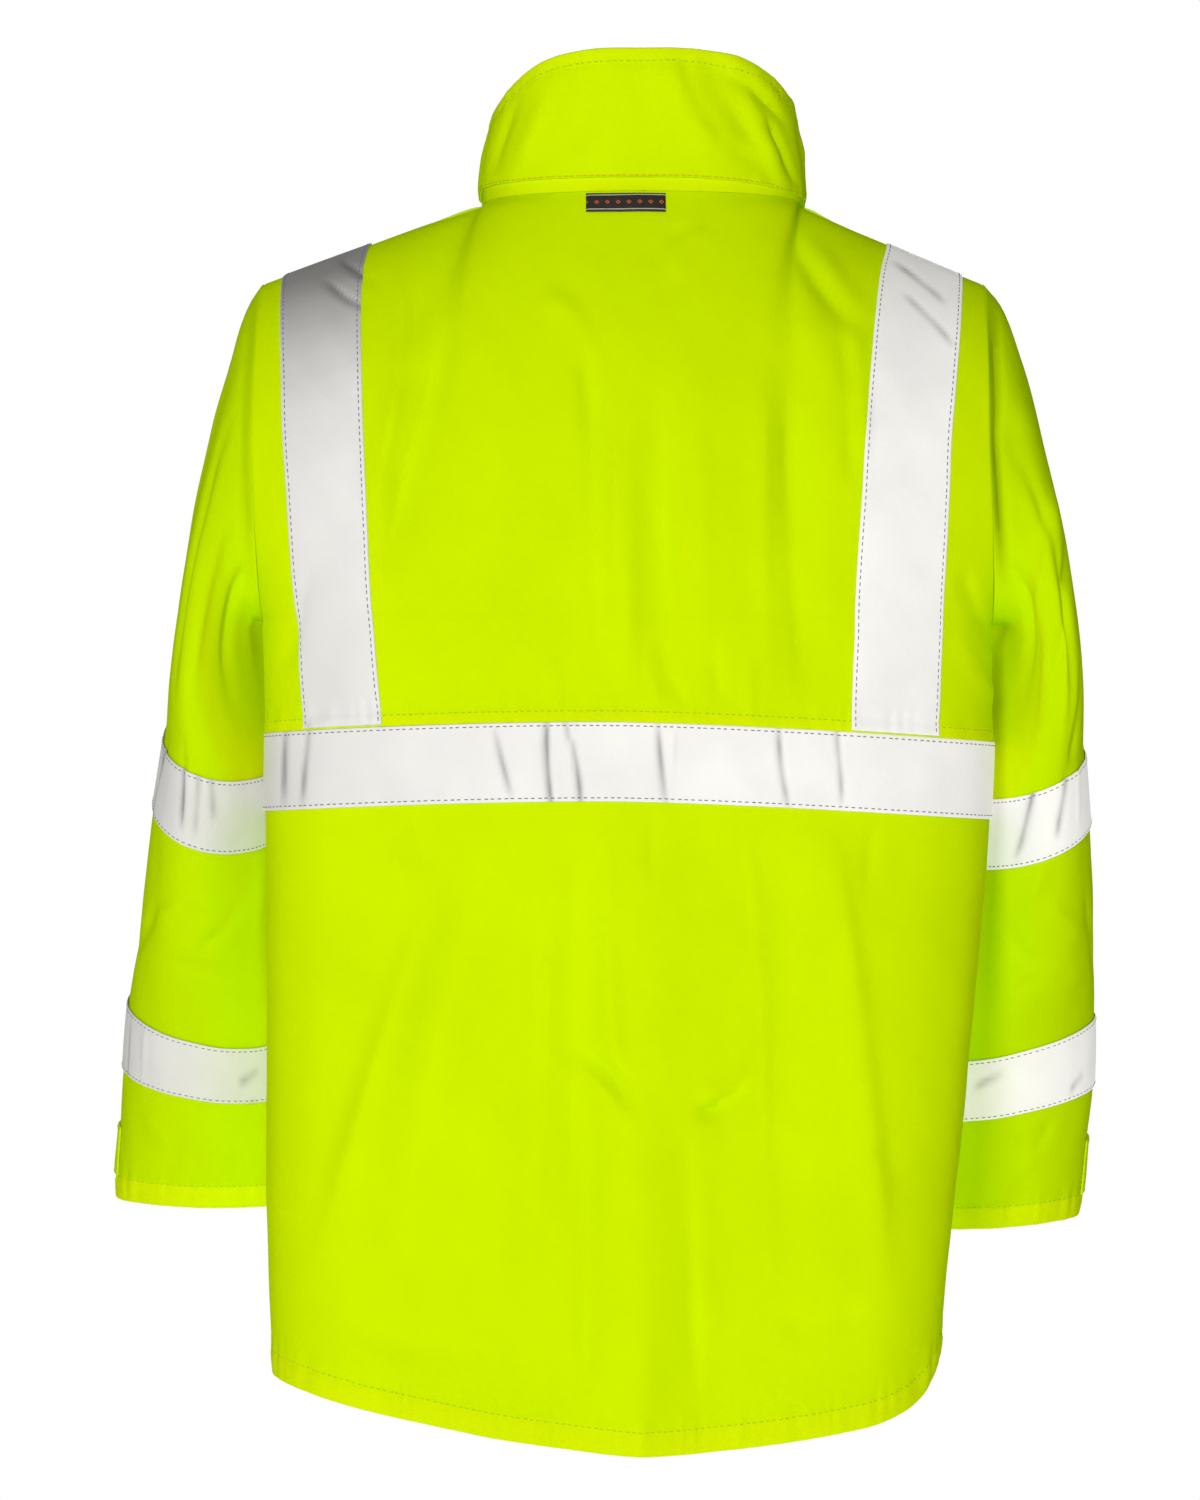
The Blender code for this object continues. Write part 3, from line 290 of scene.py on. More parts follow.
def top_line(side, x):
    """Depth and height of a panel's top edge: the neckline, then the shoulder seam."""
    round_neck = neck_shape(x)
    if side == "back":
        return NECK_BACK * round_neck, NECK_BACK_RISE * round_neck - shoulder_fall(x)
    drop = NECK_FRONT_DROP * round_neck ** NECK_DROP_CURVE
    return -NECK_FRONT * round_neck, -drop - shoulder_fall(x)


def row_height(row):
    """0 at the underarm and 1 at the shoulder seam; rows follow the armhole's arc."""
    turn = math.radians(180.0 * (row - UNDERARM_ROW) / SHOULDER_ROWS - 90.0)
    return (1.0 + math.sin(turn)) / 2.0, math.cos(turn)


def half_ring(side, row):
    """Middle, signed depth and squareness of the half ring at a row."""
    body = BODY[min(row, UNDERARM_ROW)]
    if side == "back":
        return body.middle_y, body.back_depth, BACK_SQUARENESS
    return body.middle_y, -body.front_depth, FRONT_SQUARENESS


def superellipse(share, power):
    return (1.0 - min(share, 1.0) ** power) ** (1.0 / power)


def body_fall(side, x, row, half_width):
    """Height of a ring row at x: the back hangs lowest a little off centre, the hem most of all."""
    body = BODY[row]
    loose = max(1.0 - row / TAPE_LOW_ROW, 0.0)
    low_point = HEM_LOW_POINT * loose
    across = min(max(x / half_width, -1.0), 1.0)
    farthest = 1.0 + abs(low_point)
    lift = HEM_CORNER_LIFT * loose * max(-across, 0.0) ** HEM_CORNER_POWER
    if side == "back":
        away = abs(across - low_point) / farthest
        return body.back_z + (body.side_z - body.back_z) * away ** HEM_CURVE + lift
    side_away = abs(math.copysign(1.0, across) - low_point) / farthest
    side_z = body.back_z + (body.side_z - body.back_z) * side_away ** HEM_CURVE
    return body.front_z + (side_z - body.front_z) * abs(across) ** HEM_CURVE + lift


def crown(x, height):
    """How far the cloth stands out from the top line: round over the shoulder, steep at the neck."""
    over_shoulder = math.sqrt(max(1.0 - height ** CROWN_AT_SHOULDER, 0.0))
    at_neck = 1.0 - height ** CROWN_AT_NECK
    share = smooth((abs(x) - CROWN_CHANGE) / CROWN_CHANGE_WIDTH)
    return at_neck + (over_shoulder - at_neck) * share


def fold_depth(side, x, z):
    """How far the broad folds move the cloth outwards at a point of a panel."""
    total = 0.0
    for fold in BACK_FOLDS if side == "back" else FRONT_FOLDS:
        down = (fold.top_z - z) / (fold.top_z - fold.bottom_z)
        middle = fold.top_x + (fold.bottom_x - fold.top_x) * down
        away = (x - middle) / fold.half_width
        fade = smooth((fold.top_z - z) / FOLD_FADE) * smooth((z - fold.bottom_z) / FOLD_FADE)
        total += fold.depth * fade * math.exp(-away * away)
    return total


def column_positions(side, row):
    """Distances from the centre of the inner columns of a half panel: neck, shoulder and brace."""
    height = row_height(row)[0] if row > UNDERARM_ROW else 0.0
    body_z = BODY[min(row, UNDERARM_ROW)].back_z
    brace = table_value(BRACES, body_z + height * (SHOULDER_MIDDLE_Z - body_z), "middle")
    columns = [FRONT_EDGE if side == "front" else 0.0]
    for i in range(1, NECK_COLUMNS + 1):
        low = NECK_COLUMN_SPREAD * i
        turn = math.radians(90.0 * i / NECK_COLUMNS)
        high = NECK_HALF_WIDTH * math.sin(turn) ** (2.0 / NECK_SQUARENESS)
        columns.append(low + (high - low) * height * height)
    inner_edge = brace - BRACE_HALF_WIDTH
    columns += [(columns[-1] + inner_edge) / 2.0, inner_edge, brace, brace + BRACE_HALF_WIDTH]
    return columns


def armhole_share(side, height, reach):
    """Share of the ring's depth at which the armhole's edge lies."""
    middle, depth, _ = half_ring(side, UNDERARM_ROW)
    armhole = ARMHOLE_BACK if side == "back" else -ARMHOLE_FRONT
    edge_y = middle * (1.0 - height) + armhole * reach
    shoulder_y, _ = top_line(side, ARMHOLE_X)
    full = shoulder_y + (edge_y - shoulder_y) / crown(ARMHOLE_X, height)
    return min(max((full - middle) / depth, 0.0), ARMHOLE_OUT_LIMIT)


def ring_stations(side, row):
    """Half width of a ring, and distance and share of the depth of each of its columns."""
    power = half_ring(side, row)[2]
    if row <= UNDERARM_ROW:
        edge, width = 0.0, BODY[row].half_width
    else:
        edge = armhole_share(side, *row_height(row))
        width = ARMHOLE_X / superellipse(edge, power)
    stations = [(x, superellipse(x / width, power)) for x in column_positions(side, row)]
    brace_out = stations[-1][1]
    for i in range(1, SIDE_COLUMNS + 1):
        out = brace_out + (edge - brace_out) * i / SIDE_COLUMNS
        stations.append((width * superellipse(out, power), out))
    return width, stations


def body_row(side, row, sign):
    """Points of a row below the underarm, from the centre to the side seam."""
    middle, depth, _ = half_ring(side, row)
    width, stations = ring_stations(side, row)
    return [(sign * x, middle + depth * out, body_fall(side, sign * x, row, width))
            for x, out in stations]


def yoke_row(side, row, sign):
    """Points of a row between the underarm and the shoulder, from the centre to the armhole."""
    middle, depth, _ = half_ring(side, row)
    height = row_height(row)[0]
    low = BODY[UNDERARM_ROW].side_z
    points = []
    for x, out in ring_stations(side, row)[1]:
        top_y, top_z = top_line(side, x)
        y = top_y + (middle + depth * out - top_y) * crown(x, height)
        points.append((sign * x, y, low + (top_z - low) * height))
    return points


def seam_row(side, sign):
    """Points of the top row, along the neckline and the shoulder seam."""
    columns = column_positions(side, SHOULDER_ROW)
    brace = columns[-1]
    columns += [brace + (ARMHOLE_X - brace) * i / SIDE_COLUMNS for i in range(1, SIDE_COLUMNS + 1)]
    return [(sign * x, *top_line(side, x)) for x in columns]


def panel_row(side, row, sign):
    """Points of one row of a half panel with its broad folds, from the centre outwards."""
    if row == SHOULDER_ROW:
        points = seam_row(side, sign)
    elif row > UNDERARM_ROW:
        points = yoke_row(side, row, sign)
    else:
        points = body_row(side, row, sign)
    outward = 1.0 if side == "back" else -1.0
    return [(x, y + outward * fold_depth(side, x, z), z) for x, y, z in points]


def panel_grid(side, half=None):
    """Rows of points from hem to shoulder, columns in the order in which the cloth faces outwards."""
    rows = []
    for row in range(SHOULDER_ROW + 1):
        left = panel_row(side, row, 1.0)
        right = panel_row(side, row, -1.0)
        if side == "back":
            line = left[::-1] + right[1:]
        else:
            line = left if half == "left" else right[::-1]
        rows.append([lean_over(point) for point in line])
    return np.array(rows)


EDGE_ROUNDING = 0.0012
EDGE_STATIONS = (0.0, 0.12, 0.45)
TINY = 1e-12
PANELS = {"back": panel_grid("back"), "left": panel_grid("front", "left"),
          "right": panel_grid("front", "right")}


def turned(grid):
    return grid.transpose(1, 0, 2)


def curve(start, leave, end, arrive, t):
    """A smooth curve from 0 to 1 between two points, with the directions it leaves and arrives in."""
    return (start * (2 * t ** 3 - 3 * t ** 2 + 1) + leave * (t ** 3 - 2 * t ** 2 + t)
            + end * (3 * t ** 2 - 2 * t ** 3) + arrive * (t ** 3 - t ** 2))


def along_rows(grid, places):
    """Points at fractional row numbers, on smooth curves through a grid's own rows."""
    steps = np.maximum(np.linalg.norm(np.diff(grid, axis=0), axis=2, keepdims=True), TINY)
    slopes = np.diff(grid, axis=0) / steps
    tangents = np.empty_like(grid)
    tangents[0], tangents[-1] = slopes[0], slopes[-1]
    tangents[1:-1] = (slopes[:-1] * steps[1:] + slopes[1:] * steps[:-1]) / (steps[:-1] + steps[1:])
    low = np.clip(np.floor(places).astype(int), 0, len(grid) - 2)
    t = (places - low)[:, None, None]
    span = steps[low]
    return curve(grid[low], tangents[low] * span, grid[low + 1], tangents[low + 1] * span, t)


def along_columns(grid, places, around=False):
    """The same along a grid's columns; around closes them into a tube."""
    grid = turned(grid)
    if around:
        grid = np.concatenate((grid[-2:], grid, grid[:3]))
        places = places + 2.0
    return turned(along_rows(grid, places))


def mean_run(grid):
    """Mean distance of each of a grid's rows from its first one."""
    steps = np.linalg.norm(np.diff(grid, axis=0), axis=2).mean(axis=1)
    return np.concatenate(([0.0], np.cumsum(steps)))


def places_between(grid, first, last, spacing, edge=EDGE_ROUNDING):
    """Fractional row numbers from first to last, a spacing apart, closer at both ends for round edges."""
    run = mean_run(grid)
    numbers = np.arange(len(run))
    start, stop = np.interp([first, last], numbers, run)
    count = max(int(round((stop - start - 2.0 * edge) / spacing)), 1)
    inner = np.linspace(start + edge, stop - edge, count + 1)
    near = np.array(EDGE_STATIONS) * edge
    return np.interp(np.concatenate((start + near, inner, stop - near[::-1])), run, numbers)


def runs_at(grid, places):
    """Mean distance from the first row at fractional row numbers."""
    run = mean_run(grid)
    return np.interp(places, np.arange(len(run)), run)


def piece_of(grid, rows, columns, around=False):
    return along_columns(along_rows(grid, rows), columns, around)


def unit(vectors):
    return vectors / np.maximum(np.linalg.norm(vectors, axis=-1, keepdims=True), TINY)


def normals_of(points, around=False):
    """Outward normals: along the columns, crossed with up the rows."""
    up = np.gradient(points, axis=0)
    if around:
        along = np.roll(points, -1, axis=1) - np.roll(points, 1, axis=1)
    else:
        along = np.gradient(points, axis=1)
    return unit(np.cross(along, up))


def raised(points, depth, around=False):
    """Points moved out of their surface by a depth at each of them, and their new normals."""
    points = points + normals_of(points, around) * depth[..., None]
    return points, normals_of(points, around)


def run_up(points):
    """Distance of each point from the first row, along its column."""
    steps = np.linalg.norm(np.diff(points, axis=0), axis=2)
    return np.concatenate((np.zeros((1, points.shape[1])), np.cumsum(steps, axis=0)))


def run_across(points):
    return run_up(turned(points)).T


# Creases: a soft trough or ridge along a bowed line, given by where it starts and ends on the
# cloth (across, height). Skew makes one of its flanks steeper
Crease = namedtuple("Crease", "start_x start_z end_x end_z bow width depth skew")
CREASE_END = 0.3            # share of its length over which it rises from the cloth
CREASE_WAVE = 0.2           # share of its depth that comes and goes
CREASE_WAVE_TURN = 9.0      # turn of that wave along it, in radians
# Faint waves of hanging cloth: radians a metre across and up, start, share of the height
CLOTH_WAVES = [(92.0, 31.0, 0.0, 1.0), (61.0, -74.0, 1.3, 1.0), (147.0, 12.0, 2.1, 1.0),
               (203.0, -118.0, 0.4, 0.6)]
CLOTH_WAVE_HEIGHT = 0.0004
CLOTH_WAVES_HIGHEST = 3.0
PUCKER_PERIOD = 0.0115
PUCKER_DRIFT = 2.3
PUCKER_DRIFT_PERIOD = 0.047
PUCKER_SWELL = 0.4
PUCKER_SWELL_PERIOD = 0.033
HEM_RAISED = 0.0006
HEM_RIPPLE = 0.0009
HEM_STEP = 0.0024
HEM_GROOVE = 0.0006
HEM_GROOVE_WIDTH = 0.0016
HEM_RIPPLE_REACH = 0.009
HEM_EDGE_RIPPLE = 0.35
HEM_FULL_RIPPLE = 0.6
EDGE_LEAST = 0.02
SHARP_ANGLE = 60.0


def crease_depth(x, z, creases):
    """How far the creases move the cloth outwards at each point."""
    total = np.zeros_like(x)
    for number, crease in enumerate(creases):
        run_x, run_z = crease.end_x - crease.start_x, crease.end_z - crease.start_z
        length = math.hypot(run_x, run_z)
        along_x, along_z = run_x / length, run_z / length
        away_x, away_z = x - crease.start_x, z - crease.start_z
        t = (away_x * along_x + away_z * along_z) / length
        offset = away_z * along_x - away_x * along_z - crease.bow * 4.0 * t * (1.0 - t)
        width = crease.width * (1.0 + crease.skew * np.sign(offset))
        fade = smooth(t / CREASE_END) * smooth((1.0 - t) / CREASE_END)
        uneven = 1.0 - CREASE_WAVE + CREASE_WAVE * np.sin(CREASE_WAVE_TURN * t + number)
        total += crease.depth * fade * uneven * bell(offset, width)
    return total


def unevenness(x, z):
    """Faint unevenness of hanging cloth, a few centimetres from crest to crest."""
    waves = sum(share * np.sin(across * x + up * z + start) for across, up, start, share in CLOTH_WAVES)
    return CLOTH_WAVE_HEIGHT * waves / CLOTH_WAVES_HIGHEST


def pucker(along):
    """Short ripples along a row of stitches, uneven in length and height."""
    turn = 2.0 * math.pi * along
    ripple = np.sin(turn / PUCKER_PERIOD + PUCKER_DRIFT * np.sin(turn / PUCKER_DRIFT_PERIOD))
    return ripple * (1.0 - PUCKER_SWELL + PUCKER_SWELL * np.sin(turn / PUCKER_SWELL_PERIOD + 1.0))


def bell(distance, width):
    """1 where the distance is zero, fading to 0 a couple of widths away."""
    return np.exp(-(distance / width) ** 2)


def hem_relief(edge_distance, along, band, raised=HEM_RAISED, ripple=HEM_RIPPLE):
    """A folded hem: doubled cloth up to its row of stitches, drawn in and puckered there."""
    step = raised * smooth((band + HEM_STEP / 2.0 - edge_distance) / HEM_STEP)
    groove = HEM_GROOVE * bell(edge_distance - band, HEM_GROOVE_WIDTH)
    reach = bell(np.maximum(edge_distance - band, 0.0), HEM_RIPPLE_REACH)
    inside = smooth(edge_distance / (HEM_FULL_RIPPLE * band))
    share = HEM_EDGE_RIPPLE + (1.0 - HEM_EDGE_RIPPLE) * inside
    return step - groove + ripple * pucker(along) * reach * share


def round_edge(distance):
    """Share of the cloth's thickness left near an edge, so that the edge is round."""
    left = 1.0 - np.clip(distance / EDGE_ROUNDING, 0.0, 1.0)
    return np.sqrt(np.clip(1.0 - left ** 2, EDGE_LEAST, 1.0))


def quads(*corners):
    return np.stack(corners, axis=-1).reshape(-1, 4)


def build_shell(name, points, normals, thickness, lift=0.0, around=False, doubled=None, seam_shade=None,
                round_rows=True):
    """Closed thin wall on a surface, with UVs in metres, round edges, and marks for cloth that is
    doubled, or for painted crease shade on tapes, and for painted shade in the tuck beside a seam."""
    rows, columns = points.shape[:2]
    up, across = run_up(points), run_across(points)
    share = np.ones((rows, columns))
    if round_rows:
        share = share * round_edge(np.minimum(up, up[-1:] - up))
    if not around:
        share = share * round_edge(np.minimum(across, across[:, -1:] - across))
    middle = points + normals * (lift - thickness / 2.0)
    half = normals * (share * thickness / 2.0)[..., None]
    corners = np.concatenate(((middle + half).reshape(-1, 3), (middle - half).reshape(-1, 3)))
    count = rows * columns
    here = np.arange(columns if around else columns - 1)
    beside = (here + 1) % columns
    row = np.arange(rows - 1)[:, None] * columns
    outer = quads(row + here, row + beside, row + columns + beside, row + columns + here)
    top = (rows - 1) * columns
    faces = [outer, outer[:, ::-1] + count, quads(here, here + count, beside + count, beside),
             quads(beside + top, beside + top + count, here + top + count, here + top)]
    if not around:
        row = np.arange(rows - 1) * columns
        faces.append(quads(row + columns, row + columns + count, row + count, row))
        row = row + columns - 1
        faces.append(quads(row, row + count, row + columns + count, row + columns))
    faces = np.concatenate(faces)
    mesh = bpy.data.meshes.new(name)
    mesh.from_pydata(corners.tolist(), [], faces.tolist())
    loop_across, loop_up = np.tile(across.ravel(), 2)[faces], np.tile(up.ravel(), 2)[faces]
    if around:
        total = float(across[:, -1].mean() + np.linalg.norm(points[:, 0] - points[:, -1], axis=1).mean())
        wraps = loop_across.max(axis=1) - loop_across.min(axis=1) > total / 2.0
        loop_across = np.where(wraps[:, None] & (loop_across < total / 2.0), loop_across + total,
                               loop_across)
    uvs = mesh.uv_layers.new(name="cloth")
    uvs.data.foreach_set("uv", np.stack((loop_across, loop_up), axis=-1).ravel())
    for mark_name, values in (("doubled", doubled), ("seam_shade", seam_shade)):
        mark = mesh.attributes.new(mark_name, "FLOAT", "POINT")
        marks = np.zeros(count) if values is None else values.ravel()
        mark.data.foreach_set("value", np.tile(marks, 2))
    slots = np.zeros(len(faces), dtype=np.int32)
    slots[len(outer):2 * len(outer)] = 1
    mesh.polygons.foreach_set("material_index", slots)
    mesh.shade_smooth()
    mesh.set_sharp_from_angle(angle=math.radians(SHARP_ANGLE))
    return link_object(name, mesh)


# Oxford polyester, fluorescent yellow, water-resistant coating pressed on the inside: a matt woven
# face with a slight satin sheen. Its 0.4 mm threads are drawn 1.6 mm wide to show at all
SHELL_YELLOW = "#D2F000"
SHELL_DOUBLED_YELLOW = "#DAF004"
# The sleeves' yellow is painted shade: the same cloth made darker, as the sleeves fall in shade
SLEEVE_PAINTED_SHADE_YELLOW = "#C6E800"
# Painted shade: olive for the cloth in the tuck beside the armhole seam, where shade falls
PAINTED_SEAM_SHADE_OLIVE = "#8C9C00"
# A painted glow that lifts the cloth's shade, and a painted warm shade glow for cloth that faces across
# the gap between sleeve and body
SHELL_GLOW = "#A0DC00"
PAINTED_GAP_SHADE_GLOW = "#FFB400"
SHELL_SHINE = "#D2F020"
INSIDE_YELLOW = "#D2E62C"
WEAVE_PERIOD_MM = 1.6
WAVE_PERIOD = 2.0 * math.pi / 20.0


def weave_height(tree, uv, period_mm):
    """Height of a plain weave: warp and weft bands a period apart."""
    scaled = add_node(tree, "VectorMath", {"operation": "SCALE"}, i0=uv, Scale=1000.0)
    bands = []
    for direction in ("X", "Y"):
        bands.append(add_node(tree, "TexWave", {"bands_direction": direction}, Vector=scaled,
                              Scale=WAVE_PERIOD / period_mm, Distortion=0.6, Detail=1.0,
                              Detail_Scale=0.5).outputs["Fac"])
    return add_node(tree, "Math", {"operation": "MULTIPLY"}, i0=bands[0], i1=bands[1])


def coated_oxford(name, face, doubled_face, roughness):
    material, tree, shader = new_material(name)
    uv = add_node(tree, "UVMap", {"uv_map": "cloth"})
    place = add_node(tree, "TexCoord").outputs["Object"]
    cloud = add_node(tree, "TexNoise", Vector=place, Scale=14.0, Detail=3.0)
    crumple = add_node(tree, "TexNoise", Vector=place, Scale=95.0, Detail=4.0, Roughness=0.55)
    mark = add_node(tree, "Attribute", {"attribute_name": "doubled"}).outputs["Fac"]
    base = add_node(tree, "Mix", {"data_type": "RGBA"}, i0=mark, i6=linear(face), i7=linear(doubled_face))
    seam_shade = add_node(tree, "Attribute", {"attribute_name": "seam_shade"}).outputs["Fac"]
    # Painted shade in the tuck beside the armhole seam
    base = add_node(tree, "Mix", {"data_type": "RGBA"}, i0=seam_shade, i6=base, i7=linear(PAINTED_SEAM_SHADE_OLIVE))
    tone = add_node(tree, "MapRange", Value=cloud, From_Min=0.3, From_Max=0.7, To_Min=0.955, To_Max=1.0)
    shaded = add_node(tree, "VectorMath", {"operation": "SCALE"}, i0=base, Scale=tone)
    weave = weave_height(tree, uv, WEAVE_PERIOD_MM)
    fine = add_node(tree, "Bump", Strength=0.5, Distance=0.00012, Height=weave)
    soft = add_node(tree, "Bump", Strength=0.6, Distance=0.0007, Height=crumple, Normal=fine)
    # Painted warm shade where the cloth faces across the gap between sleeve and body, mixed into the
    # painted glow
    normal = add_node(tree, "NewGeometry").outputs["Normal"]
    sideways = [add_node(tree, "SeparateXYZ", Vector=v).outputs["X"] for v in (normal, place)]
    apart = add_node(tree, "Math", {"operation": "MULTIPLY"}, i0=sideways[0], i1=sideways[1])
    between = add_node(tree, "MapRange", Value=apart, From_Min=-0.12, From_Max=-0.22)
    glow_and_gap_shade = add_node(tree, "Mix", {"data_type": "RGBA"}, i0=between, i6=linear(SHELL_GLOW),
                      i7=linear(PAINTED_GAP_SHADE_GLOW))
    fill(shader, Base_Color=shaded, Normal=soft, Emission_Color=glow_and_gap_shade, Emission_Strength=0.09,
         Roughness=roughness, Specular_IOR_Level=0.0, Sheen_Weight=0.04, Sheen_Roughness=0.5,
         Sheen_Tint=linear(SHELL_SHINE))
    return material


shell_face = coated_oxford("coated_oxford_polyester", SHELL_YELLOW, SHELL_DOUBLED_YELLOW, roughness=0.62)
sleeve_face_painted_shade = coated_oxford("coated_oxford_sleeves_painted_shade", SLEEVE_PAINTED_SHADE_YELLOW, SHELL_DOUBLED_YELLOW, roughness=0.62)
shell_inside = coated_oxford("coated_oxford_inside", INSIDE_YELLOW, INSIDE_YELLOW, roughness=0.45)

# The main creases of the back: start and end (across, height), bow, width, depth, negative in a
# trough, and skew
BACK_CREASES = from_mm(Crease, [
    (156, -36, 166, -180, -4, 4.5, 2.6, 0.2), (148, -50, 157, -150, -3, 7, -2.4, 0),
    (122, -80, 164, -255, 6, 8, -7, -0.3), (136, -70, 174, -235, 6, 8, 4.4, 0.3),
    (140, -120, 158, -240, 3, 6, 2.8, 0), (70, -62, 30, -120, -10, 7, 2.4, 0.3),
    (40, -72, 30, -325, -4, 11, -5.6, -0.4), (30, -90, 20, -260, -6, 5, 2, 0.3),
    (10, -150, 8, -335, 3, 10, 4.2, 0.2), (-12, -110, -20, -335, 4, 10, -5.6, 0.3),
    (-34, -105, -36, -330, -2, 6, 1.8, -0.2), (-78, -100, -82, -335, 3, 8, 3.6, 0.3),
    (-94, -110, -104, -335, 4, 10, -5.6, -0.4), (-128, -82, -132, -200, -3, 4.5, -3.2, 0.2),
    (-136, -78, -141, -185, -2, 4, 2.8, 0), (-106, 4, -104, -130, 0, 14, 7.2, 0),
    (-94, -18, -146, -96, 6, 5.6, -4.8, 0.3), (-110, -24, -154, -84, 5, 6, 2.2, 0),
    (-30, -18, -2, -52, 3, 4.5, -2, 0), (-42, -20, -20, -60, 4, 5, 1.8, 0),
    (-10, -285, -30, -338, 3, 4, -2.4, 0.3), (-2, -295, -14, -340, 2, 3.5, 2, 0),
    (-45, -290, -52, -340, 2, 4.5, -2.2, 0), (-70, -300, -66, -340, 1, 4, 1.8, 0),
    (60, -300, 52, -340, 1, 4.5, 1.6, 0), (-205, -240, -236, -300, 4, 6, -3, 0.2),
    (-200, -280, -235, -335, 3, 5, 2.4, 0), (215, -240, 236, -320, -3, 5.5, -2.4, 0),
    (113, -395, 215, -720, 4, 13, 5.8, -0.3), (96, -395, 170, -740, 6, 15, -5, 0.3),
    (62, -445, 72, -690, -5, 3.5, 2, 0), (70, -440, 82, -680, -5, 6, -1.4, 0),
    (42, -395, 44, -700, 2, 11, -4.6, -0.3), (24, -400, 14, -590, 3, 7, 3.4, 0.2),
    (56, -552, 8, -602, -12, 5.6, -7.6, -0.2), (40, -566, 6, -614, -8, 6, 3.6, 0),
    (-28, -594, -68, -572, 6, 4.8, -6, 0.2), (-32, -584, -66, -560, 5, 5, 2.8, 0),
    (34, -590, 38, -790, 2, 7, -4.2, -0.4), (6, -560, 2, -860, 0, 15, 4.6, 0),
    (-26, -600, -34, -800, -2, 8, -4.2, 0.4), (-62, -400, -70, -530, -6, 3, 1.4, 0),
    (-77, -430, -84, -760, 2, 2.2, 1.2, 0), (-98, -395, -92, -720, 4, 14, -5.6, 0),
    (-116, -395, -156, -720, -4, 11, 5.2, 0.3), (190, -545, 140, -580, 2, 2.8, 1.2, 0),
    (180, -530, 128, -562, 2, 3, -1, 0), (-150, -640, -196, -612, -2, 3, 1.4, 0),
    (-138, -628, -186, -602, -2, 3, -1.2, 0), (200, -728, 98, -752, 4, 10, -3.6, 0),
    (-86, -738, -146, -722, -3, 9, -3.2, 0), (150, -398, 138, -440, 2, 5, -2, 0),
    (168, -400, 150, -452, 2, 4.5, 1.8, 0), (-10, -398, -4, -450, 2, 4, -2, 0),
    (-150, -402, -144, -460, 2, 5, -2, 0),
], "skew")
# Sharper creases where the ribbon has been bent with the cloth below it
RIBBON_CREASES = from_mm(Crease, [
    (61, -336, 57, -406, 2, 2, -2.3, 0.3), (52, -338, 40, -406, -3, 2, -1.9, 0),
    (44, -340, 46, -384, 2, 1.7, 1.3, 0), (96, -344, 82, -398, 1, 1.8, -1.4, 0),
    (-9, -338, -16, -404, 1, 2, -1.6, 0.2), (-20, -344, -18, -386, 1, 1.7, 0.8, 0),
    (-86, -342, -94, -404, 2, 2.1, -1.6, 0), (-122, -340, -127, -402, -1, 2.1, -1.3, 0),
    (214, -338, 220, -404, 0, 2, -1.5, 0), (230, -338, 232, -404, 0, 2, -1.9, 0),
    (206, -36, 164, -62, 2, 2.2, -1.7, 0), (212, -52, 176, -78, 2, 2.2, -1.5, 0),
    (-160, -40, -200, -74, -2, 2.2, -1.5, 0), (-166, -62, -204, -104, -2, 2.2, -1.3, 0),
], "skew")
FRONT_CREASES = from_mm(Crease, [
    (85, -55, 150, -190, 6, 8, -3.8, 0.3), (70, -70, 122, -200, 4, 6, 2.2, 0),
    (148, -60, 160, -200, -4, 5, 1.9, 0), (40, -150, 55, -335, 4, 10, -2.9, -0.3),
    (92, -210, 86, -338, 2, 7, 2.2, 0.2), (110, -270, 126, -345, 2, 5, -1.9, 0),
    (-90, -60, -148, -180, -6, 8, -4.2, -0.3), (-66, -75, -120, -215, -4, 6.5, 2.1, 0),
    (-45, -160, -52, -338, -3, 9, -2.7, 0.3), (-86, -230, -98, -342, 3, 6, 2.1, 0),
    (-215, -230, -228, -330, 3, 6, -2.2, 0), (218, -235, 236, -330, -3, 6, -2.2, 0),
    (46, -405, 62, -700, 4, 11, -3.5, 0.3), (96, -402, 126, -760, 6, 13, 3.5, -0.2),
    (150, -402, 196, -740, 4, 12, -3.5, 0.2), (120, -560, 88, -610, -6, 4.5, -3.2, 0),
    (106, -570, 82, -622, -5, 5, 2.1, 0), (-42, -405, -40, -690, -3, 10, -3.2, -0.3),
    (-86, -402, -96, -770, -5, 13, 3.8, 0.2), (-142, -402, -170, -750, -3, 12, -3.5, 0),
    (-60, -590, -100, -560, 5, 4.5, -2.7, 0), (30, -398, 36, -450, 1, 4, 1.4, 0),
    (-30, -398, -26, -455, 1, 4.5, -1.6, 0),
], "skew")
HEM_BAND = 0.0160
CAPE_BAND = 0.0070
CAPE_RAISED = 0.0007
CAPE_RIPPLE = 0.0008
DOUBLED_FADE = 0.002
ROW_SPACING = 0.0040
COLUMN_SPACING = 0.0027
SEAM_HOLD = 0.018
ZIP_HOLD = 0.030
CREASES = {"back": BACK_CREASES + RIBBON_CREASES, "left": FRONT_CREASES, "right": FRONT_CREASES}


def held_by_seams(panel, rows, columns):
    """0 at the seams and the zip, which keep the cloth from creasing, and 1 away from them."""
    grid = PANELS[panel]
    up, along = runs_at(grid, rows), runs_at(turned(grid), columns)
    full_up, full_along = mean_run(grid)[-1], mean_run(turned(grid))[-1]
    start_hold = ZIP_HOLD if panel == "left" else SEAM_HOLD
    end_hold = ZIP_HOLD if panel == "right" else SEAM_HOLD
    free_across = smooth(along / start_hold) * smooth((full_along - along) / end_hold)
    return smooth((full_up - up) / SEAM_HOLD)[:, None] * free_across[None, :]


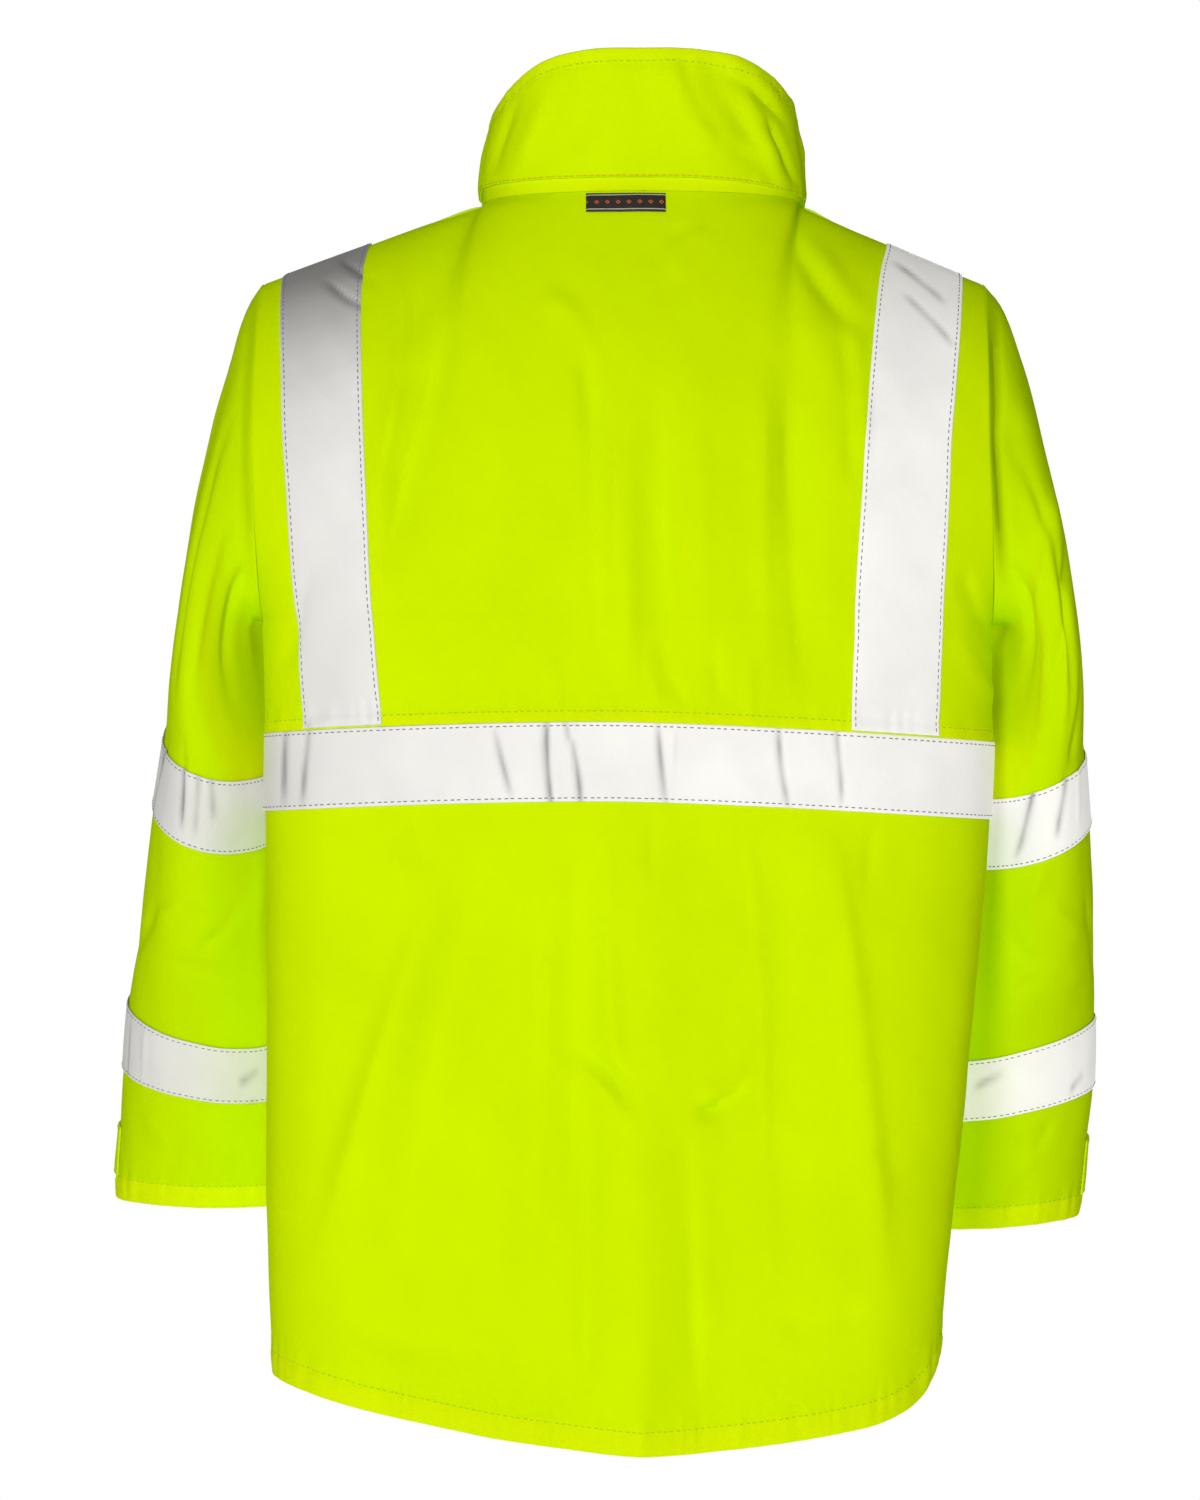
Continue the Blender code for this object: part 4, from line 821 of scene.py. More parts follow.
def body_surface(panel, rows, columns, relief=None):
    """Creased points of a stretch of a panel, and their normals."""
    points = piece_of(PANELS[panel], rows, columns)
    x, z = points[..., 0], points[..., 2]
    depth = (crease_depth(x, z, CREASES[panel]) + unevenness(x, z)) * held_by_seams(panel, rows, columns)
    if relief is not None:
        depth = depth + relief(points, runs_at(turned(PANELS[panel]), columns)[None, :])
    return raised(points, depth)


def panel_places(panel, first, last, row_spacing=ROW_SPACING, column_spacing=COLUMN_SPACING):
    """Rows between two of the panel's own rows, and all its columns."""
    grid = PANELS[panel]
    rows = places_between(grid, first, last, row_spacing)
    columns = places_between(turned(grid), 0, grid.shape[1] - 1, column_spacing)
    return rows, columns


def bottom_hem(points, along):
    return hem_relief(run_up(points), along, HEM_BAND)


def cape_hem(points, along):
    return hem_relief(run_up(points), along, CAPE_BAND, CAPE_RAISED, CAPE_RIPPLE)


def doubled_up_to(band, distance):
    """1 where the cloth is doubled, up to a band's width from its edge, and 0 beyond."""
    return smooth((band + DOUBLED_FADE / 2.0 - distance) / DOUBLED_FADE)


def finish_cloth(item, nodes, materials):
    """Materials for a piece of cloth that stands for solids, attached to the jacket, with those solids
    hidden.
    """
    for material in materials:
        item.data.materials.append(material)
    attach(item, "jacket")
    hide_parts(*nodes)


# Each piece of the body: its panel, first and last row, hem, solid, flat cut and what holds it
BodyPiece = namedtuple("BodyPiece", "name panel first last hem band node flat area held_by")
BODY_PIECES = [
    BodyPiece("lower_back_cloth", "back", 0, TAPE_HIGH_ROW, bottom_hem, HEM_BAND, "back_lower",
              flat=(0.56, 0.47), area=0.255, held_by="back_upper"),
    BodyPiece("upper_back_cloth", "back", TAPE_HIGH_ROW, SHOULDER_ROW, cape_hem, CAPE_BAND, "back_upper",
              flat=(0.56, 0.42), area=0.200, held_by="collar_inner"),
]
BODY_PIECES += [BodyPiece("front_cloth_" + half, half, 0, SHOULDER_ROW, bottom_hem, HEM_BAND,
                          "front_" + half, flat=(0.37, 0.84), area=0.225, held_by="back_upper")
                for half in ("left", "right")]
shell_surfaces = {}
for piece in BODY_PIECES:
    rows, columns = panel_places(piece.panel, piece.first, piece.last)
    surface = body_surface(piece.panel, rows, columns, piece.hem)
    shell_surfaces[piece.node] = surface
    doubled = doubled_up_to(piece.band, run_up(surface[0]))
    cloth = build_shell(piece.name, *surface, CLOTH, doubled=doubled,
                        round_rows=piece.name != "upper_back_cloth")
    finish_cloth(cloth, [piece.node], (shell_face, shell_inside))

# ---------------------------------------------------------------------------------------------
# The sleeves: set-in tubes of the same cloth that narrow to a hemmed cuff. The arms hang a
# little forward, so the cloth falls in long folds behind and breaks into short ones at the elbow.
# ---------------------------------------------------------------------------------------------
Section = namedtuple("Section", "name x y z across deep yaw rise drop")
SLEEVES = {
    "left": from_mm(Section, [
        ("cuff", 307, -167, -676, 59, 46, 0, 2, 2),
        ("tab_end", 307, -162, -660, 58.5, 47, 0, 3, 4),
        ("tab_top", 304, -148, -626, 57.5, 49, 2, 5, 8),
        ("lower_tape_end", 302, -136, -589.3, 56, 52, 4, 9.3, 11.1),
        ("lower_tape_top", 298, -112, -544.1, 54, 56, 8, 13.1, 15.6),
        ("forearm", 291, -78, -485, 48, 66, 15, 10, 16),
        ("upper_tape_end", 282.5, -48, -401.6, 40, 78, 16, 18.9, 22.5),
        ("upper_tape_top", 276.5, -33, -355, 36, 84, 15, 17.6, 21),
        ("biceps", 277, -14, -305, 26.5, 98, 12, 8, 15),
    ], "yaw"),
    "right": from_mm(Section, [
        ("cuff", -250, -168, -690, 56.5, 46, 0, 4, 2),
        ("tab_end", -251, -163, -674, 57.5, 47, 0, 4, 4),
        ("tab_top", -254, -150, -635, 57, 49, 1, 5, 8),
        ("lower_tape_end", -257.5, -136, -604.7, 56, 52, 3, 11.4, 5.3),
        ("lower_tape_top", -258, -113, -557.8, 54, 56, 6, 15.1, 7),
        ("forearm", -259, -80, -492, 47, 66, 13, 10, 16),
        ("upper_tape_end", -257, -50, -420.8, 39, 78, 15, 18.9, 9),
        ("upper_tape_top", -254.5, -35, -373.8, 35, 84, 14, 18.9, 8.8),
        ("biceps", -256, -14, -305, 26, 98, 12, 8, 15),
    ], "yaw"),
}
TAB_ROWS = (1, 2)
LOWER_TAPE_ROWS = (3, 4)
UPPER_TAPE_ROWS = (6, 7)
CAP_STATIONS = [0.75, 0.50, 0.30, 0.13, 0.0]
CAP_START_PULL = {"left": 0.060, "right": 0.083}
CAP_END_PULL = 0.85
UNDERARM_SPREAD = 2.0
CUFF_BAND = 0.0170
SLEEVE_ROW_SPACING = 0.0038
SLEEVE_COLUMN_SPACING = 0.0034
ARMHOLE_HOLD = 0.016
TUCK_FROM_SEAM = 0.0050
TUCK_WIDTH = 0.0040
TUCK_DEPTH = 0.0050
# The tuck's share also sets its painted shade, darkest on the wearer's right
TUCK_AND_SHADE_SHARE = {"left": 0.35, "right": 1.0}
TUCK_TOP_Z = -0.050
TUCK_FOOT_Z = -0.262
TUCK_FADE = 0.060


def armhole(key, sign):
    """Points, normals and directions away from the body round an armhole: up the back, down the front."""
    back_column, front_column = (0, -1) if key == "left" else (-1, 0)

    def loop(back, front):
        return np.concatenate((back[UNDERARM_ROW:, back_column],
                               front[SHOULDER_ROW - 1:UNDERARM_ROW:-1, front_column]))

    back_normals, front_normals = normals_of(PANELS["back"]), normals_of(PANELS[key])
    points = loop(PANELS["back"], PANELS[key])
    outs = loop(back_normals, front_normals)
    outs[0] += front_normals[UNDERARM_ROW, front_column]
    outs[SHOULDER_ROWS] += front_normals[SHOULDER_ROW, front_column]
    outs = unit(outs)
    along = np.roll(points, -1, axis=0) - np.roll(points, 1, axis=0)
    return points, outs, unit(np.cross(along, outs)) * -sign


def section_ring(section, turns, sign):
    """Points round a sleeve section: a turn is -90 at the body side, 0 at the back, 90 outside."""
    outward = section.across * np.sin(turns)
    backward = section.deep * np.cos(turns)
    yaw = math.radians(section.yaw)
    across = outward * math.cos(yaw) + backward * math.sin(yaw)
    deep = backward * math.cos(yaw) - outward * math.sin(yaw)
    z = section.z + section.rise * np.sin(turns) - section.drop * np.cos(turns)
    return np.stack((section.x + sign * across, section.y + deep, z), axis=1)


def sleeve_grid(key):
    """Rows from the cuff up to the armhole, columns round the sleeve so that it faces outwards."""
    sign = 1.0 if key == "left" else -1.0
    points, outs, away = armhole(key, sign)
    turns = np.radians(360.0 * np.arange(len(points)) / len(points) - 90.0)
    tube = [section_ring(section, turns, sign) for section in SLEEVES[key]]
    end, start = tube[-1], points + away * SEAM_GAP
    leave = unit(away + outs * UNDERARM_SPREAD * np.maximum(away[:, 2:], 0.0)) * CAP_START_PULL[key]
    length = np.linalg.norm(end - start, axis=1, keepdims=True)
    arrive = unit(tube[-2] - end) * length * CAP_END_PULL
    for t in CAP_STATIONS:
        tube.append(curve(start, leave, end, arrive, t))
    grid = np.array(tube)
    return grid[:, ::-1] if key == "left" else grid


SLEEVE_GRIDS = {key: sleeve_grid(key) for key in ("left", "right")}


def closed(grid):
    return np.concatenate((grid, grid[:, :1]), axis=1)


def round_places(grid, spacing):
    """Fractional columns round a tube, a spacing apart."""
    run = mean_run(turned(closed(grid)))
    count = int(round(run[-1] / spacing))
    return np.interp(np.arange(count) * run[-1] / count, run, np.arange(len(run)))


def round_run(key, places):
    """Distance round the sleeve from the body side, past the back, and the whole way round."""
    grid = SLEEVE_GRIDS[key]
    run = mean_run(turned(closed(grid)))
    here = np.interp(places, np.arange(len(run)), run)
    if key == "left":
        here = (run[grid.shape[1] - 1] - here) % run[-1]
    return here, run[-1]


def run_of_turn(key, turn):
    """The same distance for a turn in degrees."""
    count = SLEEVE_GRIDS[key].shape[1]
    number = (turn + 90.0) / 360.0 * count
    place = count - 1 - number if key == "left" else number
    return float(round_run(key, place % count)[0])


# Creases of the sleeves: across is the turn in degrees from the back, positive outwards
SLEEVE_CREASES = {
    "left": from_mm(Crease, [
        (-82, -110, -78, -340, 4, 8, 4, 0.2), (-50, -100, -48, -345, 4, 7.5, -6.4, -0.2),
        (-18, -120, -14, -350, 4, 8, 3.4, 0.2), (18, -130, 18, -345, 4, 6.5, -4.6, 0),
        (50, -80, 54, -320, 4, 8, 2.2, 0), (84, -80, 88, -300, 4, 9, -1.8, 0),
        (118, -100, 124, -330, 4, 9, 2, 0), (160, -140, 165, -350, 4, 8, -2.2, 0),
        (6, -350, 0, -418, 1, 2.8, -2.4, 0.2), (30, -348, 46, -408, 2, 3, -2.2, 0),
        (58, -346, 70, -404, 2, 3.4, -2.2, 0), (40, -352, 42, -410, 1, 2.4, -1.4, 0),
        (-11, -360, -12, -424, 1, 3.4, -0.9, 0), (-21, -364, -27, -412, 1, 3.4, -1, 0),
        (-50, -460, -6, -500, -6, 5, -2.6, 0), (-20, -452, 30, -474, -4, 5, 2, 0),
        (-40, -520, 34, -506, 6, 5.5, -2.2, 0), (20, -460, 70, -500, -6, 6, -2.2, 0),
        (-72, -420, -60, -540, 4, 8, 2.6, 0), (60, -430, 76, -545, 4, 8, -2.2, 0),
        (140, -470, 190, -500, 4, 6, -2.2, 0), (150, -500, 200, -520, 4, 6, 1.8, 0),
        (58, -540, 64, -600, 1, 3.6, -1, 0), (36, -545, 40, -596, 1, 3.6, 0.9, 0),
        (-30, -590, -52, -578, 1, 3.4, -1, 0), (-38, -602, -62, -622, 2, 5, -1.4, 0),
        (40, -612, 14, -634, 2, 5, 1.4, 0), (0, -610, 10, -670, 2, 6, 1, 0),
        (-30, -620, -34, -665, 2, 6, -1.2, 0),
    ], "start_x end_x skew"),
    "right": from_mm(Crease, [
        (-72, -75, -60, -225, 4, 9, 3.2, 0.2), (-44, -90, -48, -345, 4, 7, -5.2, -0.2),
        (-28, -180, -30, -385, 4, 7, 2.6, 0), (4, -140, 2, -375, 4, 6.5, -3.4, 0.2),
        (44, -185, -42, -290, -6, 10, 5, 0.3), (30, -140, -36, -205, -6, 8, -4, 0),
        (40, -225, -20, -320, -6, 8, -4.4, 0), (26, -300, 8, -376, 2, 5, -4, 0.3),
        (58, -300, 42, -370, 2, 5, -4, 0.3), (80, -150, 84, -340, 4, 9, -1.4, 0),
        (110, -100, 116, -320, 4, 9, 1.8, 0), (158, -140, 165, -350, 4, 8, -1.8, 0),
        (-24, -372, -43, -438, 2, 3.6, -1.8, 0.2), (9, -368, -8, -424, 1, 3.6, -1.6, 0),
        (22, -362, 16, -418, 1, 3.4, 0.9, 0), (-50, -470, 0, -512, -6, 5, -2.6, 0),
        (-12, -430, -34, -470, 2, 6, 2.2, 0), (-20, -456, 36, -486, -4, 5, 1.8, 0),
        (-36, -528, 30, -516, 6, 5.5, -2, 0), (30, -452, 74, -520, -6, 6, -2.2, 0),
        (-64, -430, -54, -545, 4, 8, 2.2, 0), (140, -474, 190, -506, 4, 6, -2.2, 0),
        (150, -500, 200, -526, 4, 6, 1.8, 0), (-42, -594, -14, -580, 1, 3.6, -1, 0),
        (34, -598, 52, -582, 1, 3.6, -1, 0), (24, -612, 14, -640, 2, 5, -1.8, 0),
        (20, -636, -16, -672, 2, 5, 1.6, 0), (8, -640, 12, -684, 2, 6, -1, 0),
    ], "start_x end_x skew"),
}


def sleeve_creases(key):
    """The creases of a sleeve with their turns as distances round it."""
    return [crease._replace(start_x=run_of_turn(key, crease.start_x),
                            end_x=run_of_turn(key, crease.end_x)) for crease in SLEEVE_CREASES[key]]


def sleeve_places(key, columns, points):
    """Distance round the sleeve, and height, of each point."""
    here = round_run(key, columns)[0]
    return np.broadcast_to(here[None, :], points.shape[:2]), points[..., 2]


def seam_tuck_and_shade(key, points):
    """1 in the tuck that runs beside the armhole seam, 0 away from it and over the shoulder; it sets both
    how deep the tuck sinks and its painted shade.
    """
    up = run_up(points)
    from_seam = up[-1:] - up
    z = points[..., 2]
    between = smooth((TUCK_TOP_Z - z) / TUCK_FADE) * smooth((z - TUCK_FOOT_Z) / TUCK_FADE)
    return TUCK_AND_SHADE_SHARE[key] * between * bell(from_seam - TUCK_FROM_SEAM, TUCK_WIDTH)


def sleeve_relief(key, points, along):
    """The cuff's hem, and the tuck beside the armhole seam."""
    return hem_relief(run_up(points), along, CUFF_BAND) - TUCK_DEPTH * seam_tuck_and_shade(key, points)


def sleeve_surface(key, rows, columns, around=True, hemmed=False):
    """Creased points of a stretch of a sleeve, and their normals."""
    grid = SLEEVE_GRIDS[key]
    points = piece_of(grid, rows, columns, True)
    whole = round_run(key, columns)[1]
    here, z = sleeve_places(key, columns, points)
    creases = sleeve_creases(key)
    depth = sum(crease_depth(here + shift, z, creases) for shift in (-whole, 0.0, whole))
    depth = depth + unevenness(here, z)
    up = runs_at(grid, rows)
    depth = depth * smooth((mean_run(grid)[-1] - up) / ARMHOLE_HOLD)[:, None]
    if hemmed:
        depth = depth + sleeve_relief(key, points, here)
    return raised(points, depth, around)


for key, grid in SLEEVE_GRIDS.items():
    rows = places_between(grid, 0, len(grid) - 1, SLEEVE_ROW_SPACING)
    columns = round_places(grid, SLEEVE_COLUMN_SPACING)
    points, normals = sleeve_surface(key, rows, columns, hemmed=True)
    shell_surfaces["sleeve_" + key] = points, normals
    sleeve = build_shell("sleeve_cloth_" + key, points, normals, CLOTH, around=True,
                         doubled=doubled_up_to(CUFF_BAND, run_up(points)), seam_shade=seam_tuck_and_shade(key, points))
    # The sleeves take the darker copy of the cloth, a painted shade
    finish_cloth(sleeve, ["sleeve_upper_" + key, "sleeve_middle_" + key, "sleeve_lower_" + key],
                 (sleeve_face_painted_shade, shell_inside))

# ---------------------------------------------------------------------------------------------
# The cuff tabs: short doubled straps of shell cloth, sewn down at one end on the outer side of
# each sleeve, that close the cuff with a hook-and-loop patch under their rounded end.
# ---------------------------------------------------------------------------------------------
TAB_FIRST_TURN_COLUMN = 9
TAB_COLUMNS = 4
TAB_END_ROUNDING = 0.010
TAB_SPACING = 0.0025
TAB_DOUBLED = 0.5
TAB_LIFT = SEAM_GAP + CLOTH


def sample(grid, rows, columns):
    """Points at fractional rows and columns of a fine grid."""
    low_row = np.clip(np.floor(rows).astype(int), 0, grid.shape[0] - 2)
    low_column = np.clip(np.floor(columns).astype(int), 0, grid.shape[1] - 2)
    up, along = (rows - low_row)[..., None], (columns - low_column)[..., None]
    low = grid[low_row, low_column] * (1 - along) + grid[low_row, low_column + 1] * along
    high = grid[low_row + 1, low_column] * (1 - along) + grid[low_row + 1, low_column + 1] * along
    return low * (1 - up) + high * up


def tab_surface(key):
    """The tab's part of the sleeve, drawn in at its free end to a round tip."""
    grid = SLEEVE_GRIDS[key]
    count = grid.shape[1]
    first = TAB_FIRST_TURN_COLUMN if key == "right" else count - 1 - TAB_FIRST_TURN_COLUMN - TAB_COLUMNS
    numbers = places_between(turned(grid), first, first + TAB_COLUMNS, TAB_SPACING)
    rows = places_between(grid, *TAB_ROWS, TAB_SPACING)
    points, normals = sleeve_surface(key, rows, numbers, around=False)
    along = run_across(points).mean(axis=0)
    left_over = along[-1] - along if key == "right" else along
    inside = np.clip(1.0 - left_over / TAB_END_ROUNDING, 0.0, 1.0)
    half = len(rows) / 2.0 - 0.5
    height = mean_run(points)[-1] / 2.0
    drawn = 1.0 - TAB_END_ROUNDING / height * (1.0 - np.sqrt(1.0 - inside ** 2))
    row_numbers = half + (np.arange(len(rows)) - half)[:, None] * drawn[None, :]
    column_numbers = np.broadcast_to(np.arange(len(numbers))[None, :], row_numbers.shape)
    points = sample(points, row_numbers, column_numbers)
    return points, normals_of(points)


tab_surfaces = {}
for key in SLEEVE_GRIDS:
    points, normals = tab_surface(key)
    tab_surfaces[key] = points, normals
    tab = build_shell("cuff_tab_cloth_" + key, points, normals, CLOTH, TAB_LIFT,
                      doubled=np.full(points.shape[:2], TAB_DOUBLED))
    finish_cloth(tab, ["cuff_tab_" + key], (shell_face, shell_inside))

# ---------------------------------------------------------------------------------------------
# The stand collar: an inner band sewn to the neck, and a doubled outer band that lies over it
# down to a free edge. A row of stitches below the top edge keeps the two together.
# ---------------------------------------------------------------------------------------------
COLLAR_CLOTH = 0.0020
COLLAR_LIFT = SEAM_GAP + COLLAR_CLOTH
NECK_SEAM = 0.0002
COLLAR_TOP_BACK = 0.094
COLLAR_TOP_LEFT = 0.056
COLLAR_TOP_RIGHT = 0.066
COLLAR_TOP_FRONT = 0.030
COLLAR_FREE_EDGE = 0.009
COLLAR_FREE_EDGE_DROP = 0.007
COLLAR_TOP_HALF_WIDTH = 0.0985
COLLAR_TOP_BACK_DEPTH = 0.083
COLLAR_TOP_FRONT_DEPTH = 0.084
COLLAR_SIDE_CURVE = 4.0
COLLAR_FRONT_CURVE = 1.2
COLLAR_FREE_EDGE_CURVE = 3
COLLAR_ROWS = 4
COLLAR_BAND = 0.0085
COLLAR_GROOVE = 0.0007
COLLAR_GROOVE_WIDTH = 0.0018
COLLAR_RIPPLE = 0.0006
COLLAR_RIPPLE_REACH = 0.006
FREE_EDGE_RIPPLE = 0.0004
FREE_EDGE_STRETCH = 0.8
FREE_EDGE_REACH = 0.010
COLLAR_BAND_DOUBLED = 0.6
COLLAR_ROW_SPACING = 0.0030
COLLAR_COLUMN_SPACING = 0.0028


def collar_top(x, facing):
    """Height of the collar's top edge: level behind, lower at the sides and lowest in front."""
    across = min(abs(x) / NECK_HALF_WIDTH, 1.0)
    side = COLLAR_TOP_LEFT if x > 0.0 else COLLAR_TOP_RIGHT
    if facing >= 0.0:
        return COLLAR_TOP_BACK - (COLLAR_TOP_BACK - side) * across ** COLLAR_SIDE_CURVE
    return side - (side - COLLAR_TOP_FRONT) * (-facing) ** COLLAR_FRONT_CURVE


def free_edge_height(x):
    """The outer collar's free edge stands above the neck seam, less on the wearer's right."""
    rightward = max(-x / NECK_HALF_WIDTH, 0.0)
    return COLLAR_FREE_EDGE - COLLAR_FREE_EDGE_DROP * rightward ** COLLAR_FREE_EDGE_CURVE


def collar_column(turn, level, height):
    """Point of the collar at a turn from the back, a level from 0 to 1, and a given height."""
    half_width = NECK_HALF_WIDTH + (COLLAR_TOP_HALF_WIDTH - NECK_HALF_WIDTH) * level ** 2
    back = NECK_BACK + (COLLAR_TOP_BACK_DEPTH - NECK_BACK) * level
    front = NECK_FRONT + (COLLAR_TOP_FRONT_DEPTH - NECK_FRONT) * level
    power = 2.0 / NECK_SQUARENESS
    x = half_width * math.copysign(abs(math.sin(turn)) ** power, math.sin(turn))
    depth = back if math.cos(turn) > 0.0 else front
    y = depth * math.copysign(abs(math.cos(turn)) ** power, math.cos(turn))
    return x, y, height


def collar_turns():
    """Turns of the collar's columns, from the left front edge round the back to the right one."""
    step = 90.0 / NECK_COLUMNS
    edge = 180.0 - math.degrees(math.asin((FRONT_EDGE / NECK_HALF_WIDTH) ** (NECK_SQUARENESS / 2.0)))
    half = [step * i for i in range(2 * NECK_COLUMNS)] + [edge]
    return [math.radians(t) for t in half[::-1]] + [math.radians(-t) for t in half[1:]]


def collar_grid():
    """Rows from the neck seam to the top; the second one is the outer band's free edge."""
    columns = []
    for turn in collar_turns():
        x, _, _ = collar_column(turn, 0.0, 0.0)
        facing = math.cos(turn)
        neck = top_line("back" if facing >= 0.0 else "front", x)[1]
        top = collar_top(x, facing)
        free = neck + free_edge_height(x)
        heights = [neck + NECK_SEAM]
        heights += [free + (top - free) * i / COLLAR_ROWS for i in range(COLLAR_ROWS + 1)]
        columns.append([lean_over(collar_column(turn, (height - neck) / (top - neck), height))
                        for height in heights])
    return np.array(columns).transpose(1, 0, 2)


COLLAR_GRID = collar_grid()
COLLAR_TOP_ROW = COLLAR_ROWS + 1

# Across is the distance round the collar from its middle behind, positive to the wearer's left
COLLAR_CREASES = from_mm(Crease, [
    (-16, 96, -52, 24, 6, 7, 2.9, 0.3), (-40, 90, -80, 30, 4, 8, -3.2, 0),
    (-38, 86, -112, 44, -4, 4.2, -3.2, 0.3), (-44, 94, -108, 56, -4, 5, 2.2, 0),
    (-82, 60, -122, 4, 4, 4, -3.6, 0.2), (-74, 52, -108, 2, 4, 5, 2.4, 0),
    (-50, 34, -92, 6, -3, 5, -1.8, 0), (-66, 78, -100, 16, 4, 6, 2.5, 0),
    (26, 88, 50, 20, -3, 8, -2.2, 0), (60, 84, 88, 12, -4, 7, 2.5, 0.2), (84, 70, 112, 10, 2, 6, -2.5, 0),
    (-4, 86, -4, 14, 3, 9, -1.8, 0), (-126, 60, -150, 0, 3, 7, -3.2, 0),
    (-146, 52, -166, -8, 3, 6, 2.5, 0), (128, 60, 152, -6, -3, 7, -3.2, 0),
    (150, 48, 178, -16, -3, 6, 2.5, 0), (-200, 40, -224, -30, 2, 7, -2.5, 0),
    (206, 38, 230, -30, -2, 7, 2.5, 0),
], "skew")


def collar_run(columns):
    """Distance round the collar from its middle behind, positive to the wearer's left."""
    run = mean_run(turned(COLLAR_GRID))
    middle = (COLLAR_GRID.shape[1] - 1) // 2
    return run[middle] - np.interp(columns, np.arange(len(run)), run)


def collar_surface(rows, columns, relief=None):
    points = piece_of(COLLAR_GRID, rows, columns)
    along = np.broadcast_to(collar_run(columns)[None, :], points.shape[:2])
    depth = crease_depth(along, points[..., 2], COLLAR_CREASES) + unevenness(along, points[..., 2])
    up = runs_at(COLLAR_GRID, rows)
    edge = smooth((collar_run(0.0) - np.abs(along)) / ZIP_HOLD)
    depth = depth * smooth(up / SEAM_HOLD)[:, None] * edge
    if relief is not None:
        depth = depth + relief(points, along)
    return raised(points, depth)


def collar_band(points, along):
    """The stitched band under the top edge: the cloth is drawn in at its stitches."""
    up = run_up(points)
    below_top = up[-1:] - up
    groove = COLLAR_GROOVE * bell(below_top - COLLAR_BAND, COLLAR_GROOVE_WIDTH)
    ripple = COLLAR_RIPPLE * pucker(along) * bell(below_top - COLLAR_BAND, COLLAR_RIPPLE_REACH)
    free_edge = FREE_EDGE_RIPPLE * pucker(along * FREE_EDGE_STRETCH) * bell(up, FREE_EDGE_REACH)
    return ripple - groove + free_edge


columns = places_between(turned(COLLAR_GRID), 0, COLLAR_GRID.shape[1] - 1, COLLAR_COLUMN_SPACING)
low_rows = places_between(COLLAR_GRID, 0, 1, COLLAR_ROW_SPACING)
high_rows = places_between(COLLAR_GRID, 1, COLLAR_TOP_ROW, COLLAR_ROW_SPACING)
outer_points, outer_normals = collar_surface(high_rows, columns, collar_band)
foot_points = collar_surface(low_rows[:-1], columns)[0]
inner_points = np.concatenate((foot_points, outer_points))
inner_normals = normals_of(inner_points)
inner_collar = build_shell("inner_collar_cloth", inner_points, inner_normals, CLOTH,
                           doubled=np.ones(inner_points.shape[:2]), round_rows=False)
finish_cloth(inner_collar, ["collar_inner"], (shell_face, shell_inside))
below_top = run_up(outer_points)[-1:] - run_up(outer_points)
outer_collar = build_shell("outer_collar_cloth", outer_points, outer_normals, COLLAR_CLOTH, COLLAR_LIFT,
                           doubled=COLLAR_BAND_DOUBLED * doubled_up_to(COLLAR_BAND, below_top))
finish_cloth(outer_collar, ["collar_outer"], (shell_face, shell_face))

# ---------------------------------------------------------------------------------------------
# The reflective tapes: 2 inch polyester ribbon coated with glass beads, silver grey. One rings
# the waist, two run from it over the shoulders and two ring each sleeve, all stitched flat.
# ---------------------------------------------------------------------------------------------
TAPE_CLOTH = 0.0010
TAPE_SPACING = 0.0024
TAPE_ROW_SPACING = 0.0042
TAPE_FINE_SPACING = 0.0013
CREASE_FULLY_SHADED = 0.0016
CREASE_SHADE_TONE = 0.44
TAPE_STITCH_INSET = 0.0024
BRACE_END_GAP = 0.0012
TAPE_SILVER = "#D8D6D2"
TAPE_BACKING = "#C9C7BE"
# Painted tint that offsets the yellow bounce light on tape facing the body
PAINTED_BOUNCE_OFFSET_TINT = (0.92, 0.87, 1.20)
BEAD_SIZE_MM = 1.1
TAPE_LIFT = SEAM_GAP + TAPE_CLOTH


